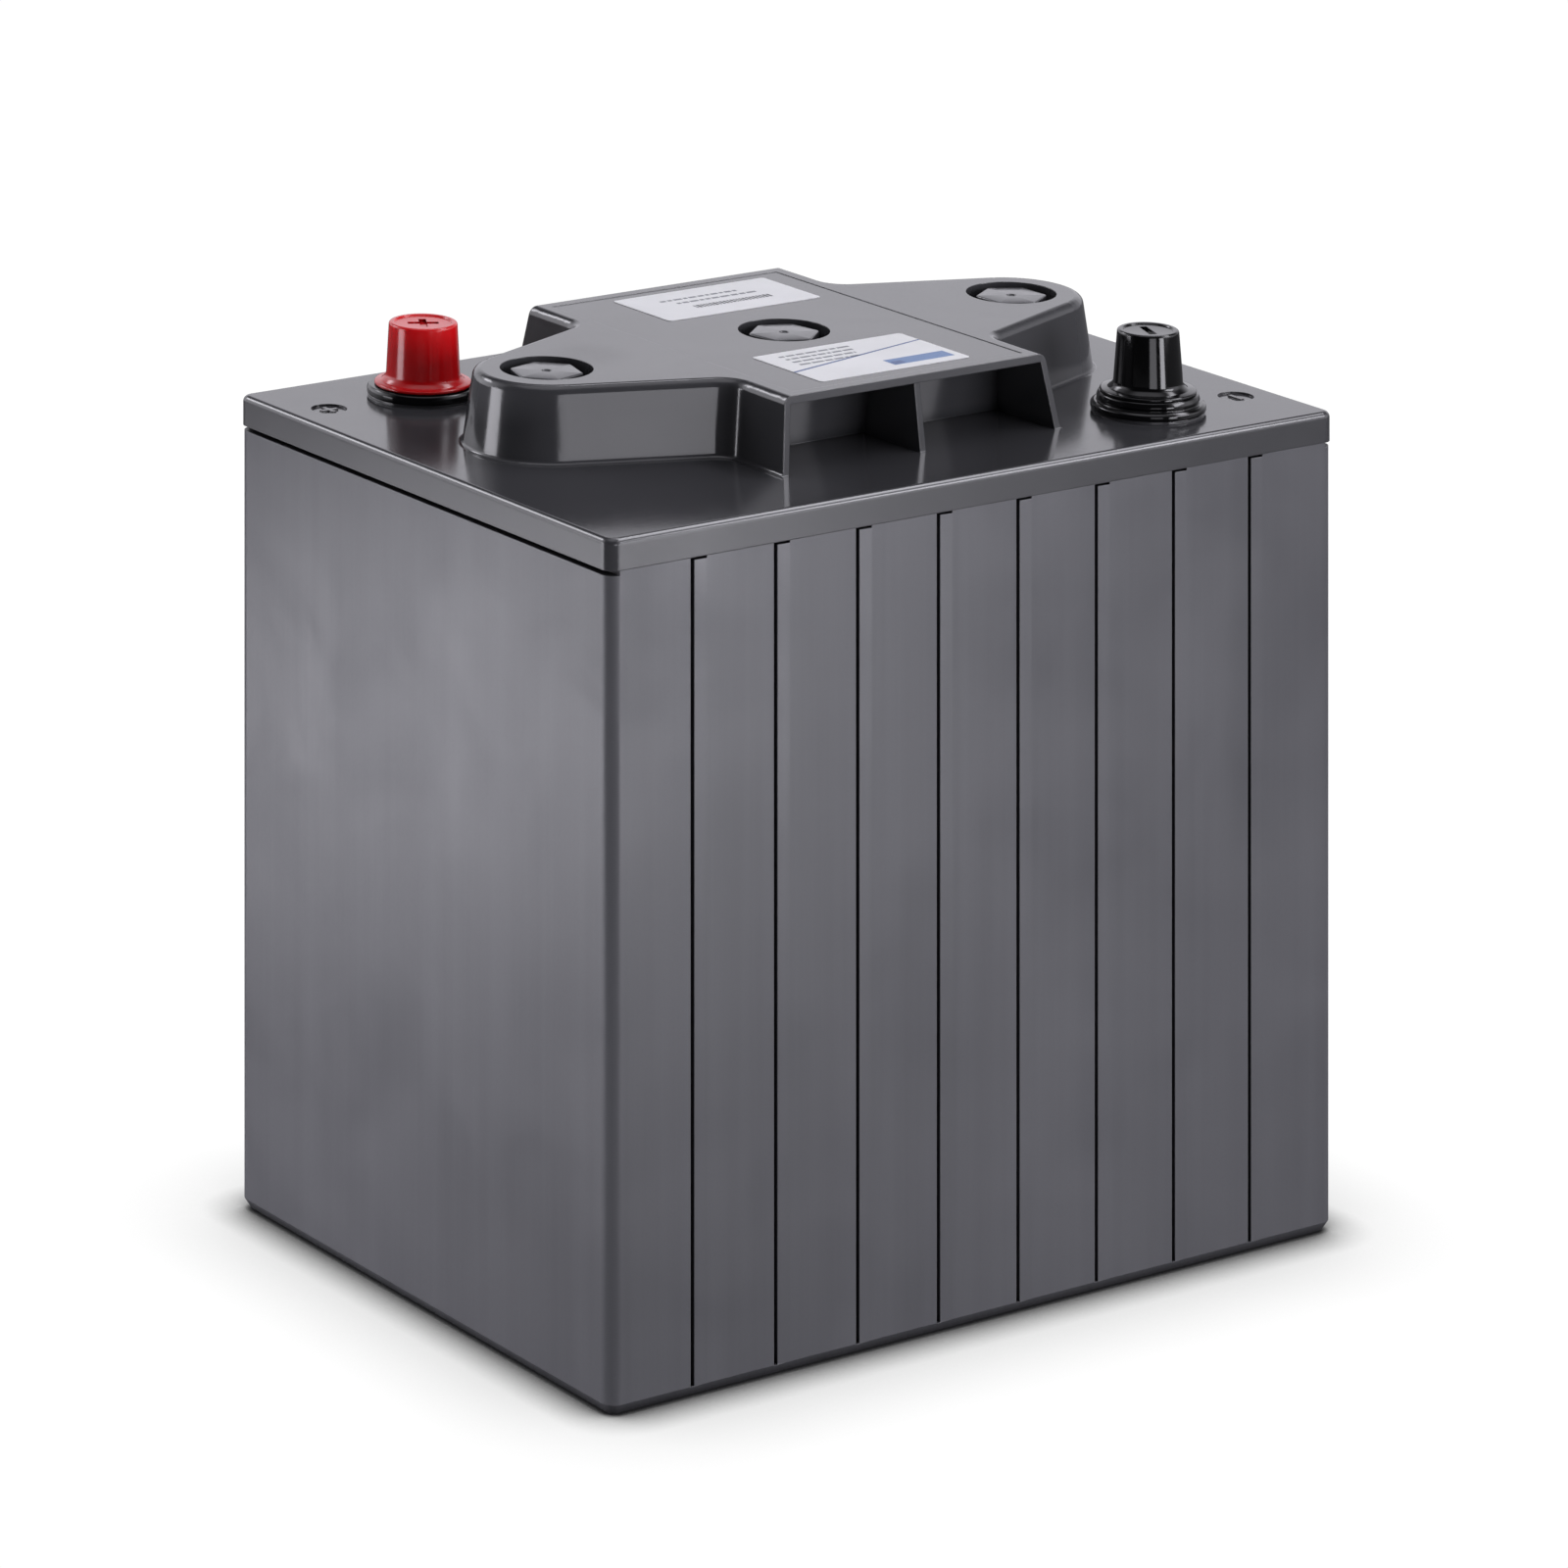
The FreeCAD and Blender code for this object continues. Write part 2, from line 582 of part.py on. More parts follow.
def block_openings(lid):
    """Label field, plug wells and holes, and the gas spaces between the plugs."""
    pocket(lid, "LabelField", rectangle(lid, "PanelOutline", "@field_length", "@field_width",
                                        z="@block_top"), "@field_depth")
    pocket(lid, "Wells", plug_circles(lid, "WellOutline", "@well_radius", "@block_top"),
           "@block_top - @well_floor")
    holes = plug_circles(lid, "PlugHoleOutline", "@plug_hole_radius", "@well_floor")
    pocket(lid, "PlugHoles", holes, "@well_floor - @lid_underside + @overrun")
    for k, x in enumerate(("-@gas_x", "@gas_x"), 1):
        outline = rectangle(lid, f"GasOutline{k}", "@gas_length", "@gas_width",
                            x=x, z="@lid_underside")
        pocket(lid, f"GasSpace{k}", outline, "@gas_top - @lid_underside", up=True)


def terminal_openings(lid):
    """Low bosses with the holes for the post necks."""
    discs = corner_circles(lid, "BossOutline", "@boss_radius", "@terminal_x", "@terminal_y",
                           "@lid_plane")
    bosses = pad(lid, "TerminalBosses", discs, "@boss_height")
    boss_rim = size["lid_plane"] + size["boss_height"]
    fillet(lid, "BossRound", bosses, lambda e: level(e, boss_rim), "@boss_round")
    holes = corner_circles(lid, "TerminalHoleOutline", "@neck_hole_radius", "@terminal_x",
                           "@terminal_y", "@boss_top")
    pocket(lid, "TerminalHoles", holes, "@boss_top - @lid_underside + @overrun")


def polarity_signs(lid):
    """Plus and minus standing in round recesses; the minus bar lies along Y."""
    recesses = corner_circles(lid, "PolarityOutline", "@sign_radius", "@sign_x", "@sign_y",
                              "@lid_plane")
    pocket(lid, "PolarityRecesses", recesses, "@sign_depth")
    for name, outline_name, x, y, length, width in (
            ("PlusA", "PlusBarA", "-@sign_x", "@sign_y", "@sign_length", "@sign_width"),
            ("PlusB", "PlusBarB", "-@sign_x", "@sign_y", "@sign_width", "@sign_length"),
            ("Minus", "MinusBar", "@sign_x", "-@sign_y", "@sign_width", "@sign_length")):
        outline = rectangle(lid, outline_name, length, width, x=x, y=y,
                            z="@lid_plane - @sign_depth")
        pad(lid, name, outline, "@sign_height")


def make_lid():
    lid = new_body("Lid")
    lid_slab(lid)
    raised_block(lid)
    finger_recesses(lid)
    block_openings(lid)
    terminal_openings(lid)
    polarity_signs(lid)
    piece(lid, "lid")


# ---------------------------------------------------------------- valve plugs
def make_plug(k, x, turn):
    """Hollow plug with a bevelled hexagon head, and its sealing ring."""
    hexagon = doc.addObject("Part::Prism", f"HexHead{k}")
    hexagon.Polygon = 6
    bind(hexagon, Circumradius="@hex_radius", Height="@hex_top - @flange_top")
    hexagon.Placement = turned(Vector(0, 0, 1), turn)
    place(hexagon, x, "0", "@flange_top")
    crown = cone(f"HexCrown{k}", "@crown_low_radius", "@crown_top_radius",
                 "@flange_top", "@hex_top", x)
    head = doc.addObject("Part::Common", f"HexBevel{k}")
    head.Base = hexagon
    head.Tool = crown
    flange = cylinder(f"PlugFlange{k}", "@flange_radius", "@flange_low", "@flange_top", x)
    shank = cylinder(f"PlugShank{k}", "@shank_radius", "@shank_low", "@flange_low", x)
    bore = cylinder(f"PlugBore{k}", "@plug_bore_radius", "@shank_low", "@plug_bore_top", x)
    solid = fuse(f"PlugSolid{k}", head, flange, shank)
    piece(cut(f"VentPlug{k}", solid, bore), f"vent_plug_{k}")
    ring = doc.addObject("Part::Torus", f"PlugSeal{k}")
    bind(ring, Radius1="@seal_radius", Radius2="@seal_section")
    place(ring, x, "0", "@well_floor + @seal_section")
    piece(ring, f"plug_seal_{k}")


def make_valve(k, x):
    """Seat with a nozzle inside the plug's bore, and the cap over the nozzle."""
    disc = cylinder(f"SeatDisc{k}", "@seat_radius", "@shank_low", "@seat_top", x)
    tube = cylinder(f"SeatNozzle{k}", "@nozzle_radius", "@seat_top", "@nozzle_top", x)
    hole = cylinder(f"SeatBore{k}", "@nozzle_bore", "@shank_low", "@nozzle_top", x)
    piece(cut(f"ValveSeat{k}", fuse(f"SeatSolid{k}", disc, tube), hole), f"valve_seat_{k}")
    skin = cylinder(f"ValveSkin{k}", "@valve_radius", "@valve_low", "@valve_top", x)
    void = cylinder(f"ValveVoid{k}", "@valve_inner_radius", "@valve_low", "@nozzle_top", x)
    piece(cut(f"ValveCap{k}", skin, void), f"valve_cap_{k}")


# ---------------------------------------------------------------- terminals
def make_post(name, polarity, prefix, x, y):
    """Tapered post on a flange, the gasket under the lid and the riser in the post's bore."""
    flange = cylinder(name + "Flange", "@post_flange_radius", "@post_low", "@post_flange_top",
                      x, y)
    neck = cylinder(name + "Neck", "@post_neck_radius", "@post_flange_top", "@boss_top", x, y)
    taper = cone(name + "Taper", f"@{prefix}_low_radius", f"@{prefix}_top_radius",
                 "@boss_top", "@post_top", x, y)
    bore = cylinder(name + "PostBore", "@riser_bore", "@post_low", "@post_top", x, y)
    solid = fuse(name + "PostSolid", flange, neck, taper)
    piece(cut(name + "Post", solid, bore), "terminal_post_" + polarity)
    disc = cylinder(name + "GasketDisc", "@post_flange_radius", "@post_flange_top",
                    "@lid_underside", x, y)
    hole = cylinder(name + "GasketBore", "@neck_hole_radius", "@post_flange_top",
                    "@lid_underside", x, y)
    piece(cut(name + "Gasket", disc, hole), "post_gasket_" + polarity)
    riser = cylinder(name + "Riser", "@riser_radius", "@strap_top", "@riser_top", x, y)
    piece(riser, "riser_" + polarity)


def make_collar(name, polarity, prefix, x, y):
    """Insulating collar standing on the lid round the post; the negative one is stepped."""
    if polarity == "positive":
        ring = cylinder(name + "CollarDisc", "@pos_collar_radius", "@boss_top",
                        "@pos_collar_top", x, y)
    else:
        ring = fuse(name + "CollarSteps",
                    cylinder(name + "CollarLow", "@neg_collar_radius", "@boss_top",
                             "@neg_collar_step", x, y),
                    cylinder(name + "CollarUp", "@neg_collar_top_radius", "@neg_collar_step",
                             "@neg_collar_top", x, y))
    bore = cylinder(name + "CollarBore", f"@{prefix}_low_radius + @collar_gap", "@boss_top",
                    f"@{prefix}_collar_top", x, y)
    piece(cut(name + "Collar", ring, bore), "terminal_collar_" + polarity)


def make_cap(name, polarity, prefix, x, y):
    """Push-on cap standing on the collar, with the polarity mark sunk in its top."""
    low, top = f"@{prefix}_collar_top", f"@{prefix}_cap_top"
    shell = cone(name + "CapCone", f"@{prefix}_cap_radius", f"@{prefix}_cap_top_radius",
                 low, top, x, y)
    brim = cylinder(name + "CapBrim", f"@{prefix}_brim_radius", low, low + " + @brim_height",
                    x, y)
    # the hollow follows the post's taper
    slope = f"(@{prefix}_low_radius - @{prefix}_top_radius)/(@post_top - @boss_top)"
    hollow = cone(name + "CapHollow",
                  f"@{prefix}_low_radius - {slope}*({low} - @boss_top) + @cap_gap",
                  f"@{prefix}_top_radius + @cap_gap", low, "@post_top", x, y)
    solid = fuse(name + "CapSolid", shell, brim)
    mark_low, mark_height = top + " - @mark_depth", "@mark_depth + @overrun"
    mark = box(name + "MarkBarA", "@mark_width", "@mark_length", mark_height, x, y, mark_low)
    if polarity == "positive":
        mark = fuse(name + "Mark", mark, box(name + "MarkBarB", "@mark_length", "@mark_width",
                                             mark_height, x, y, mark_low))
    cap = cut(name + "Cap", cut(name + "CapShell", solid, hollow), mark)
    # the cap is turned about the post's axis, not the origin
    turn = f"(@{prefix}_mark_turn*1deg)"
    cap.Placement = turned(Vector(0, 0, 1), size[prefix + "_mark_turn"])
    place(cap, f"({x})*(1 - cos{turn}) + ({y})*sin{turn}",
          f"({y})*(1 - cos{turn}) - ({x})*sin{turn}", "0")
    piece(cap, "terminal_cap_" + polarity)


# ---------------------------------------------------------------- labels
def make_labels():
    for side in ("rear", "front"):
        label = box("Label" + side.capitalize(), f"@{side}_length", f"@{side}_width",
                    "@label_thickness", f"@{side}_x", f"@{side}_y", "@block_top - @field_depth")
        piece(label, "label_" + side)


# ---------------------------------------------------------------- cells
def make_plates(k, polarity, prefix, first, lug_y):
    """Row of plates with a lug on top of each; first is the offset of the first plate."""
    body = new_body(f"{polarity.capitalize()}Plates{k}")
    start = f"{CELL_X[k - 1]} - @pack_length/2 + {first}"
    thickness = f"@{prefix}_thickness"
    plate_outline = rectangle(body, f"Plate{polarity}{k}", "@plate_width",
                              "@plate_top - @plate_low", plane="YZ_Plane",
                              y="(@plate_low + @plate_top)/2", z=start)
    plate = pad(body, f"PlatePad{polarity}{k}", plate_outline, thickness)
    lug_outline = rectangle(body, f"Lug{polarity}{k}", "@lug_width", "@lug_top - @plate_top",
                            plane="YZ_Plane", x=lug_y, y="(@lug_top + @plate_top)/2", z=start)
    lug = pad(body, f"LugPad{polarity}{k}", lug_outline, thickness)
    row_along_x(body, f"PlateRow{polarity}{k}", [plate, lug],
                f"@plate_pitch*(@{prefix}_count - 1)", f"@{prefix}_count")
    solids = len(body.Shape.Solids)
    assert solids == size[prefix + "_count"], (polarity, k, solids)
    piece(body, f"{polarity}_plates_{k}")


def make_separators(k):
    """A mat on each side of every positive plate, standing on the floor of the cell."""
    body = new_body(f"Separators{k}")
    mats = []
    for j, first in enumerate(("@neg_thickness",
                               "@neg_thickness + @mat_thickness + @pos_thickness")):
        outline = rectangle(body, f"Mat{k}_{j}", "@mat_width", "@mat_top - @floor_thickness",
                            plane="YZ_Plane", y="(@floor_thickness + @mat_top)/2",
                            z=f"{CELL_X[k - 1]} - @pack_length/2 + {first}")
        mats.append(pad(body, f"MatPad{k}_{j}", outline, "@mat_thickness"))
    row_along_x(body, f"MatRow{k}", mats, "@plate_pitch*(@pos_count - 1)", "@pos_count")
    solids = len(body.Shape.Solids)
    assert solids == 2 * size["pos_count"], solids
    piece(body, f"separators_{k}")


def make_strap(k, polarity, y_sign):
    """Cast strap over the lugs: plain and wide under a terminal, otherwise narrow, with an
    upright tab next to the partition it is welded through."""
    name = f"{polarity.capitalize()}Strap{k}"
    cell_x = CELL_X[k - 1]
    height = "@strap_top - @lug_top"
    if (k, polarity) in ((1, "positive"), (3, "negative")):
        strap = box(name, "@pack_length", "@end_strap_width", height,
                    cell_x, y_sign + "@end_strap_y", "@lug_top")
    else:
        # the tab is on the side of the neighbouring cell
        side = "+" if polarity == "negative" else "-"
        y = y_sign + "@lug_y"
        bar = box(name + "Bar", "@pack_length + @strap_reach", "@strap_width", height,
                  f"{cell_x} {side} @strap_reach/2", y, "@lug_top")
        tab = box(name + "Tab", "@tab_thickness", "@strap_width", "@tab_top - @strap_top",
                  f"{cell_x} {side} (@cell_length - @tab_thickness)/2", y, "@strap_top")
        strap = fuse(name, bar, tab)
    piece(strap, f"{polarity}_strap_{k}")


def make_cell(k):
    # the middle cell is turned end for end, so that the cells connect in series
    signs = {"positive": "", "negative": "-"}
    if k == 2:
        signs = {"positive": "-", "negative": ""}
    make_plates(k, "positive", "pos", "@neg_thickness + @mat_thickness",
                signs["positive"] + "@lug_y")
    make_plates(k, "negative", "neg", "0", signs["negative"] + "@lug_y")
    make_separators(k)
    for polarity, y_sign in signs.items():
        make_strap(k, polarity, y_sign)


def make_link(k, x, y):
    """Round weld that fills a partition's opening."""
    link = doc.addObject("Part::Cylinder", f"Link{k}")
    bind(link, Radius="@link_radius", Height="@partition")
    link.Placement = turned(Vector(0, 1, 0), 90)
    place(link, f"{x} - @partition/2", y, "@link_z")
    piece(link, f"intercell_link_{k}")


# ---------------------------------------------------------------- build, check and write
def check():
    bad = [(o.Name, o.Label, o.State) for o in doc.Objects
           if any(word in o.State for word in ("Invalid", "Error"))]
    for obj in pieces:
        shape = obj.Shape
        if shape.isNull() or not shape.isValid() or shape.Volume <= 0:
            bad.append((obj.Label, "shape"))
    assert not bad, bad


make_case()
make_lid()
for number, (plug_x, plug_turn) in enumerate(PLUGS, 1):
    make_plug(number, plug_x, plug_turn)
    make_valve(number, plug_x)
for terminal in TERMINALS:
    prefix_name = terminal[0].capitalize()
    make_post(prefix_name, *terminal)
    make_collar(prefix_name, *terminal)
    make_cap(prefix_name, *terminal)
make_labels()
for number in (1, 2, 3):
    make_cell(number)
for number, (link_x, link_y) in enumerate(LINKS, 1):
    make_link(number, link_x, link_y)

doc.recompute()
check()
os.makedirs("parts", exist_ok=True)
for finished in pieces:
    finished.Shape.exportStep(f"parts/{finished.Label}.step")
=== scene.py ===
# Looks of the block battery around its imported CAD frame. Metres, +Z up.
import bpy
import bmesh
import json
import math
import random
from mathutils import Vector, Matrix


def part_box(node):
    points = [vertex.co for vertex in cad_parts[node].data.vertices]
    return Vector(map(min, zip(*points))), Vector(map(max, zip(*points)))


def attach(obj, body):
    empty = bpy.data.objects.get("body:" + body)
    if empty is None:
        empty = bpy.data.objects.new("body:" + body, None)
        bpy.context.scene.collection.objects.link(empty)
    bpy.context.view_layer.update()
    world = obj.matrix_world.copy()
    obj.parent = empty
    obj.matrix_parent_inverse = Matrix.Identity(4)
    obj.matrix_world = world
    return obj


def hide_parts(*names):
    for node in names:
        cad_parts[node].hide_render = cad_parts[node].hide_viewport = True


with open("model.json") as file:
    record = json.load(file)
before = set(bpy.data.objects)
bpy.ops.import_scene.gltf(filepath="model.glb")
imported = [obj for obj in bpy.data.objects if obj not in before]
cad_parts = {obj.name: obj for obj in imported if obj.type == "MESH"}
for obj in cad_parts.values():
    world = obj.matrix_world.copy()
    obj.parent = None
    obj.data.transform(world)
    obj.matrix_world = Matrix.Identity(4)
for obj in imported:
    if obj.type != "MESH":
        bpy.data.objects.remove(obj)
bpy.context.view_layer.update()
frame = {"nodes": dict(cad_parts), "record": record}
N = frame["nodes"]
scene = bpy.context.scene
MM = 0.001
random.seed(7)


# ------------------------------------------------------------------ node helpers
class Mat:
    """A principled material with short-hand for adding and wiring nodes."""

    def __init__(self, name):
        self.m = bpy.data.materials.new(name)
        self.m.use_nodes = True
        self.t = self.m.node_tree
        self.t.nodes.clear()
        self.out = self.n("ShaderNodeOutputMaterial")
        self.p = self.n("ShaderNodeBsdfPrincipled")
        self.l(self.p.outputs[0], self.out.inputs[0])
        self.co = self.n("ShaderNodeTexCoord").outputs["Object"]

    def n(self, kind, **kw):
        node = self.t.nodes.new(kind)
        for k, v in kw.items():
            setattr(node, k, v)
        return node

    def l(self, a, b):
        self.t.links.new(a, b)

    def set(self, node, **kw):
        for k, v in kw.items():
            key = k.replace("_", " ")
            sock = node.inputs[key]
            if isinstance(v, bpy.types.NodeSocket):
                self.l(v, sock)
            else:
                sock.default_value = v
        return node

    def scaled(self, sx, sy, sz, src=None):
        mp = self.n("ShaderNodeMapping")
        self.l(src or self.co, mp.inputs["Vector"])
        mp.inputs["Scale"].default_value = (sx, sy, sz)
        return mp.outputs[0]

    def noise(self, scale, detail=4.0, rough=0.5, src=None, distort=0.0):
        t = self.n("ShaderNodeTexNoise")
        self.l(src or self.co, t.inputs["Vector"])
        t.inputs["Scale"].default_value = scale
        t.inputs["Detail"].default_value = detail
        t.inputs["Roughness"].default_value = rough
        t.inputs["Distortion"].default_value = distort
        return t.outputs["Fac"]

    def voronoi(self, scale, src=None, feature="F1"):
        t = self.n("ShaderNodeTexVoronoi", feature=feature)
        self.l(src or self.co, t.inputs["Vector"])
        t.inputs["Scale"].default_value = scale
        return t.outputs["Distance"]

    def ramp(self, fac, stops, interp="LINEAR"):
        r = self.n("ShaderNodeValToRGB")
        r.color_ramp.interpolation = interp
        els = r.color_ramp.elements
        while len(els) < len(stops):
            els.new(0.5)
        for e, (pos, c) in zip(els, stops):
            e.position = pos
            e.color = (c, c, c, 1) if not isinstance(c, tuple) else (*c, 1)
        self.l(fac, r.inputs[0])
        return r.outputs[0]

    def range(self, fac, lo, hi, a=0.0, b=1.0):
        r = self.n("ShaderNodeMapRange")
        self.l(fac, r.inputs["Value"])
        r.inputs["From Min"].default_value = a
        r.inputs["From Max"].default_value = b
        r.inputs["To Min"].default_value = lo
        r.inputs["To Max"].default_value = hi
        return r.outputs[0]

    def math(self, op, a, b=None, clamp=False):
        x = self.n("ShaderNodeMath", operation=op, use_clamp=clamp)
        for i, v in enumerate((a, b)):
            if v is None:
                continue
            if isinstance(v, bpy.types.NodeSocket):
                self.l(v, x.inputs[i])
            else:
                x.inputs[i].default_value = v
        return x.outputs[0]

    def mix(self, fac, a, b, blend="MIX"):
        x = self.n("ShaderNodeMix", data_type="RGBA", blend_type=blend)
        for sock, v in ((x.inputs[0], fac), (x.inputs[6], a), (x.inputs[7], b)):
            if isinstance(v, bpy.types.NodeSocket):
                self.l(v, sock)
            elif isinstance(v, tuple):
                sock.default_value = (*v, 1)
            else:
                sock.default_value = v
        return x.outputs[2]

    def edge(self, radius, lo=0.0, hi=0.35):
        """0 on flat surface, towards 1 close to an edge."""
        b = self.n("ShaderNodeBevel", samples=6)
        b.inputs["Radius"].default_value = radius
        g = self.n("ShaderNodeNewGeometry")
        d = self.n("ShaderNodeVectorMath", operation="DOT_PRODUCT")
        self.l(b.outputs[0], d.inputs[0])
        self.l(g.outputs["Normal"], d.inputs[1])
        one = self.math("SUBTRACT", 1.0, d.outputs["Value"])
        return self.range(one, 0.0, 1.0, lo, hi)

    def bump(self, height, strength, distance, normal=None):
        b = self.n("ShaderNodeBump")
        b.inputs["Strength"].default_value = strength
        b.inputs["Distance"].default_value = distance
        self.l(height, b.inputs["Height"])
        if normal is not None:
            self.l(normal, b.inputs["Normal"])
        return b.outputs[0]

    def bevel(self, radius):
        b = self.n("ShaderNodeBevel", samples=6)
        b.inputs["Radius"].default_value = radius
        return b.outputs[0]

    def sepz(self, src=None):
        s = self.n("ShaderNodeSeparateXYZ")
        self.l(src or self.co, s.inputs[0])
        return s.outputs


def srgb(r, g, b):
    f = lambda c: (c / 255 / 12.92) if c / 255 <= 0.04045 else ((c / 255 + 0.055) / 1.055) ** 2.4
    return (f(r), f(g), f(b))


def plastic(name, rgb, rough, streak=0.0, grain=0.25, edge=0.0008, wear=0.35, wave=0.0, coat=0.0, spec=0.5, soft=0.0004,
            dull=(), skirt=None, mirrored=1.0):
    """Moulded plastic: mottled colour, flow streaks, fine grain, lighter rubbed edges, painted shade in narrow gaps.

    dull lists patches where the shine is cut, a painted darker reflection, as (x, y, radius, amount) in metres; skirt
    is the colour and roughness of the outermost upright faces of the lid."""
    k = Mat(name)
    big = k.noise(7.0, 3.0, 0.55)
    fine = k.noise(900.0, 2.0, 0.5)
    c = k.mix(k.range(big, 0.0, 1.0, 0.3, 0.7), tuple(0.90 * v for v in rgb), tuple(1.10 * v for v in rgb))
    if skirt:
        sx, sy, _ = k.sepz()
        out_ = k.math("MAXIMUM", k.math("DIVIDE", k.math("ABSOLUTE", sx), 0.130), k.math("DIVIDE", k.math("ABSOLUTE", sy), 0.0905))
        out_ = k.range(out_, 0.0, 1.0, 0.9980, 0.9995)
        c = k.mix(out_, c, skirt[0])
    if streak:
        st = k.noise(1.0, 4.0, 0.6, k.scaled(160.0, 160.0, 3.0))
        c = k.mix(k.range(st, 0.0, streak, 0.35, 0.75), c, tuple(min(1, 1.35 * v) for v in rgb))
    speck = k.range(k.noise(2600.0, 1.0, 0.5), 0.0, 0.25, 0.55, 0.8)
    c = k.mix(speck, c, tuple(0.75 * v for v in rgb))
    if wear:
        e = k.math("MULTIPLY", k.edge(edge), k.range(k.noise(140.0, 4.0, 0.6), 0.2, 1.0, 0.35, 0.65), clamp=True)
        c = k.mix(k.math("MULTIPLY", e, wear), c, tuple(min(1, 1.9 * v + 0.02) for v in rgb))
    # painted shade: ambient occlusion mixes the colour to black in narrow gaps, slots, pockets and under rims (factor 1
    # out in the open, 0 deep in a gap)
    gap = k.n("ShaderNodeAmbientOcclusion", samples=4)
    gap.inputs["Distance"].default_value = 0.007
    painted_shade_fac = k.range(gap.outputs["AO"], 0.03, 1.0, 0.12, 0.52)
    c = k.mix(painted_shade_fac, tuple(0.0 for v in rgb), c)
    # painted reflection: seen by glossy rays the colour goes towards near black, so the part shows darker in
    # reflections than it is
    if mirrored < 1.0:
        lp = k.n("ShaderNodeLightPath")
        c = k.mix(k.math("MULTIPLY", lp.outputs["Is Glossy Ray"], 1.0 - mirrored), c, (0.02, 0.02, 0.02))
    smudge = k.noise(26.0, 5.0, 0.6, distort=0.6)
    r = k.range(smudge, rough * 0.82, rough * 1.22, 0.3, 0.7)
    r = k.math("ADD", r, k.range(fine, -0.02, 0.02, 0.3, 0.7))
    nrm = k.bevel(soft)
    if wave:
        nrm = k.bump(k.noise(22.0, 2.0, 0.4), wave, 0.0006, nrm)
    nrm = k.bump(fine, grain, 0.00004, nrm)
    if skirt:
        r = k.math("ADD", r, k.math("MULTIPLY", out_, skirt[1] - rough))
    # the painted shade in gaps also cuts the shine there
    shine = k.math("MULTIPLY", painted_shade_fac, spec)
    # painted darker reflection: round patches where the shine is cut
    for x, y, rad, amount in dull:
        sx, sy, _ = k.sepz()
        dx = k.math("DIVIDE", k.math("SUBTRACT", sx, x), rad)
        dy = k.math("DIVIDE", k.math("SUBTRACT", sy, y), rad)
        q = k.math("ADD", k.math("MULTIPLY", dx, dx), k.math("MULTIPLY", dy, dy))
        patch = k.math("MULTIPLY", k.math("EXPONENT", k.math("MULTIPLY", k.math("MULTIPLY", q, q), -0.5)), amount)
        shine = k.math("MULTIPLY", shine, k.math("SUBTRACT", 1.0, patch))
    k.set(k.p, Base_Color=c, Roughness=r, Normal=nrm, IOR=1.49)
    k.l(shine, k.p.inputs["Specular IOR Level"])
    if coat:
        k.p.inputs["Coat Weight"].default_value = coat
        k.p.inputs["Coat Roughness"].default_value = 0.08
    return k.m


GREY = (0.0865, 0.0868, 0.0935)
MAT = {}
MAT["case_plastic"] = plastic("case_plastic", GREY, 0.38, streak=0.35, grain=0.30, wear=0.35, soft=0.0004)
# the lid's dull patch paints a darker reflection on the top near the left end
MAT["lid_plastic"] = plastic("lid_plastic", tuple(0.51 * v for v in GREY), 0.14, grain=0.08, wear=0.35, wave=0.10, spec=0.65, soft=0.0004,
                             dull=[(-0.066, 0.006, 0.010, 0.3)], skirt=(tuple(0.42 * v for v in GREY), 0.36))
MAT["plug_plastic"] = plastic("plug_plastic", tuple(0.8 * v for v in GREY), 0.16, grain=0.08, wear=0.3, spec=0.7, soft=0.0003)
MAT["red_cap"] = plastic("red_cap", (0.66, 0.005, 0.008), 0.15, grain=0.06, wear=0.10, wave=0.12, spec=0.5, soft=0.0004, mirrored=0.12)
MAT["black_cap"] = plastic("black_cap", (0.002, 0.002, 0.0022), 0.09, grain=0.04, wear=0.03, wave=0.10, spec=0.5, soft=0.0004)
MAT["collar_plastic"] = plastic("collar_plastic", (0.002, 0.002, 0.0022), 0.09, grain=0.04, wear=0.03, wave=0.08, spec=0.5, soft=0.0004)
MAT["seat_plastic"] = plastic("seat_plastic", (0.62, 0.60, 0.55), 0.45, grain=0.3, wear=0.2)


def rubber(name):
    k = Mat(name)
    n = k.noise(500.0, 4.0, 0.6)
    c = k.mix(k.range(k.noise(30.0, 3.0), 0, 1, 0.35, 0.65), (0.012, 0.012, 0.012), (0.03, 0.03, 0.031))
    bloom = k.math("MULTIPLY", k.edge(0.0006), k.range(n, 0.0, 0.6, 0.4, 0.6), clamp=True)
    c = k.mix(bloom, c, (0.09, 0.09, 0.09))
    k.set(k.p, Base_Color=c, Roughness=k.range(n, 0.6, 0.85, 0.3, 0.7), Normal=k.bump(n, 0.35, 0.00008, k.bevel(0.0003)))
    return k.m


def lead(name, base, bright, rough=0.42, brushed=False):
    k = Mat(name)
    n = k.noise(90.0, 6.0, 0.65, distort=0.5)
    ox = k.range(k.noise(26.0, 4.0, 0.6), 0.0, 1.0, 0.42, 0.62)
    c = k.mix(ox, base, bright)
    wearm = k.math("MULTIPLY", k.edge(0.0006), 0.8, clamp=True)
    c = k.mix(wearm, c, tuple(min(1, 1.5 * v) for v in bright))
    src = k.scaled(1, 1, 60) if brushed else None
    h = k.noise(60.0 if brushed else 260.0, 5.0, 0.6, src)
    k.set(k.p, Base_Color=c, Metallic=0.85, Roughness=k.range(n, rough * 0.8, rough * 1.35, 0.3, 0.7),
          Normal=k.bump(h, 0.35, 0.00012, k.bevel(0.0004)))
    return k.m


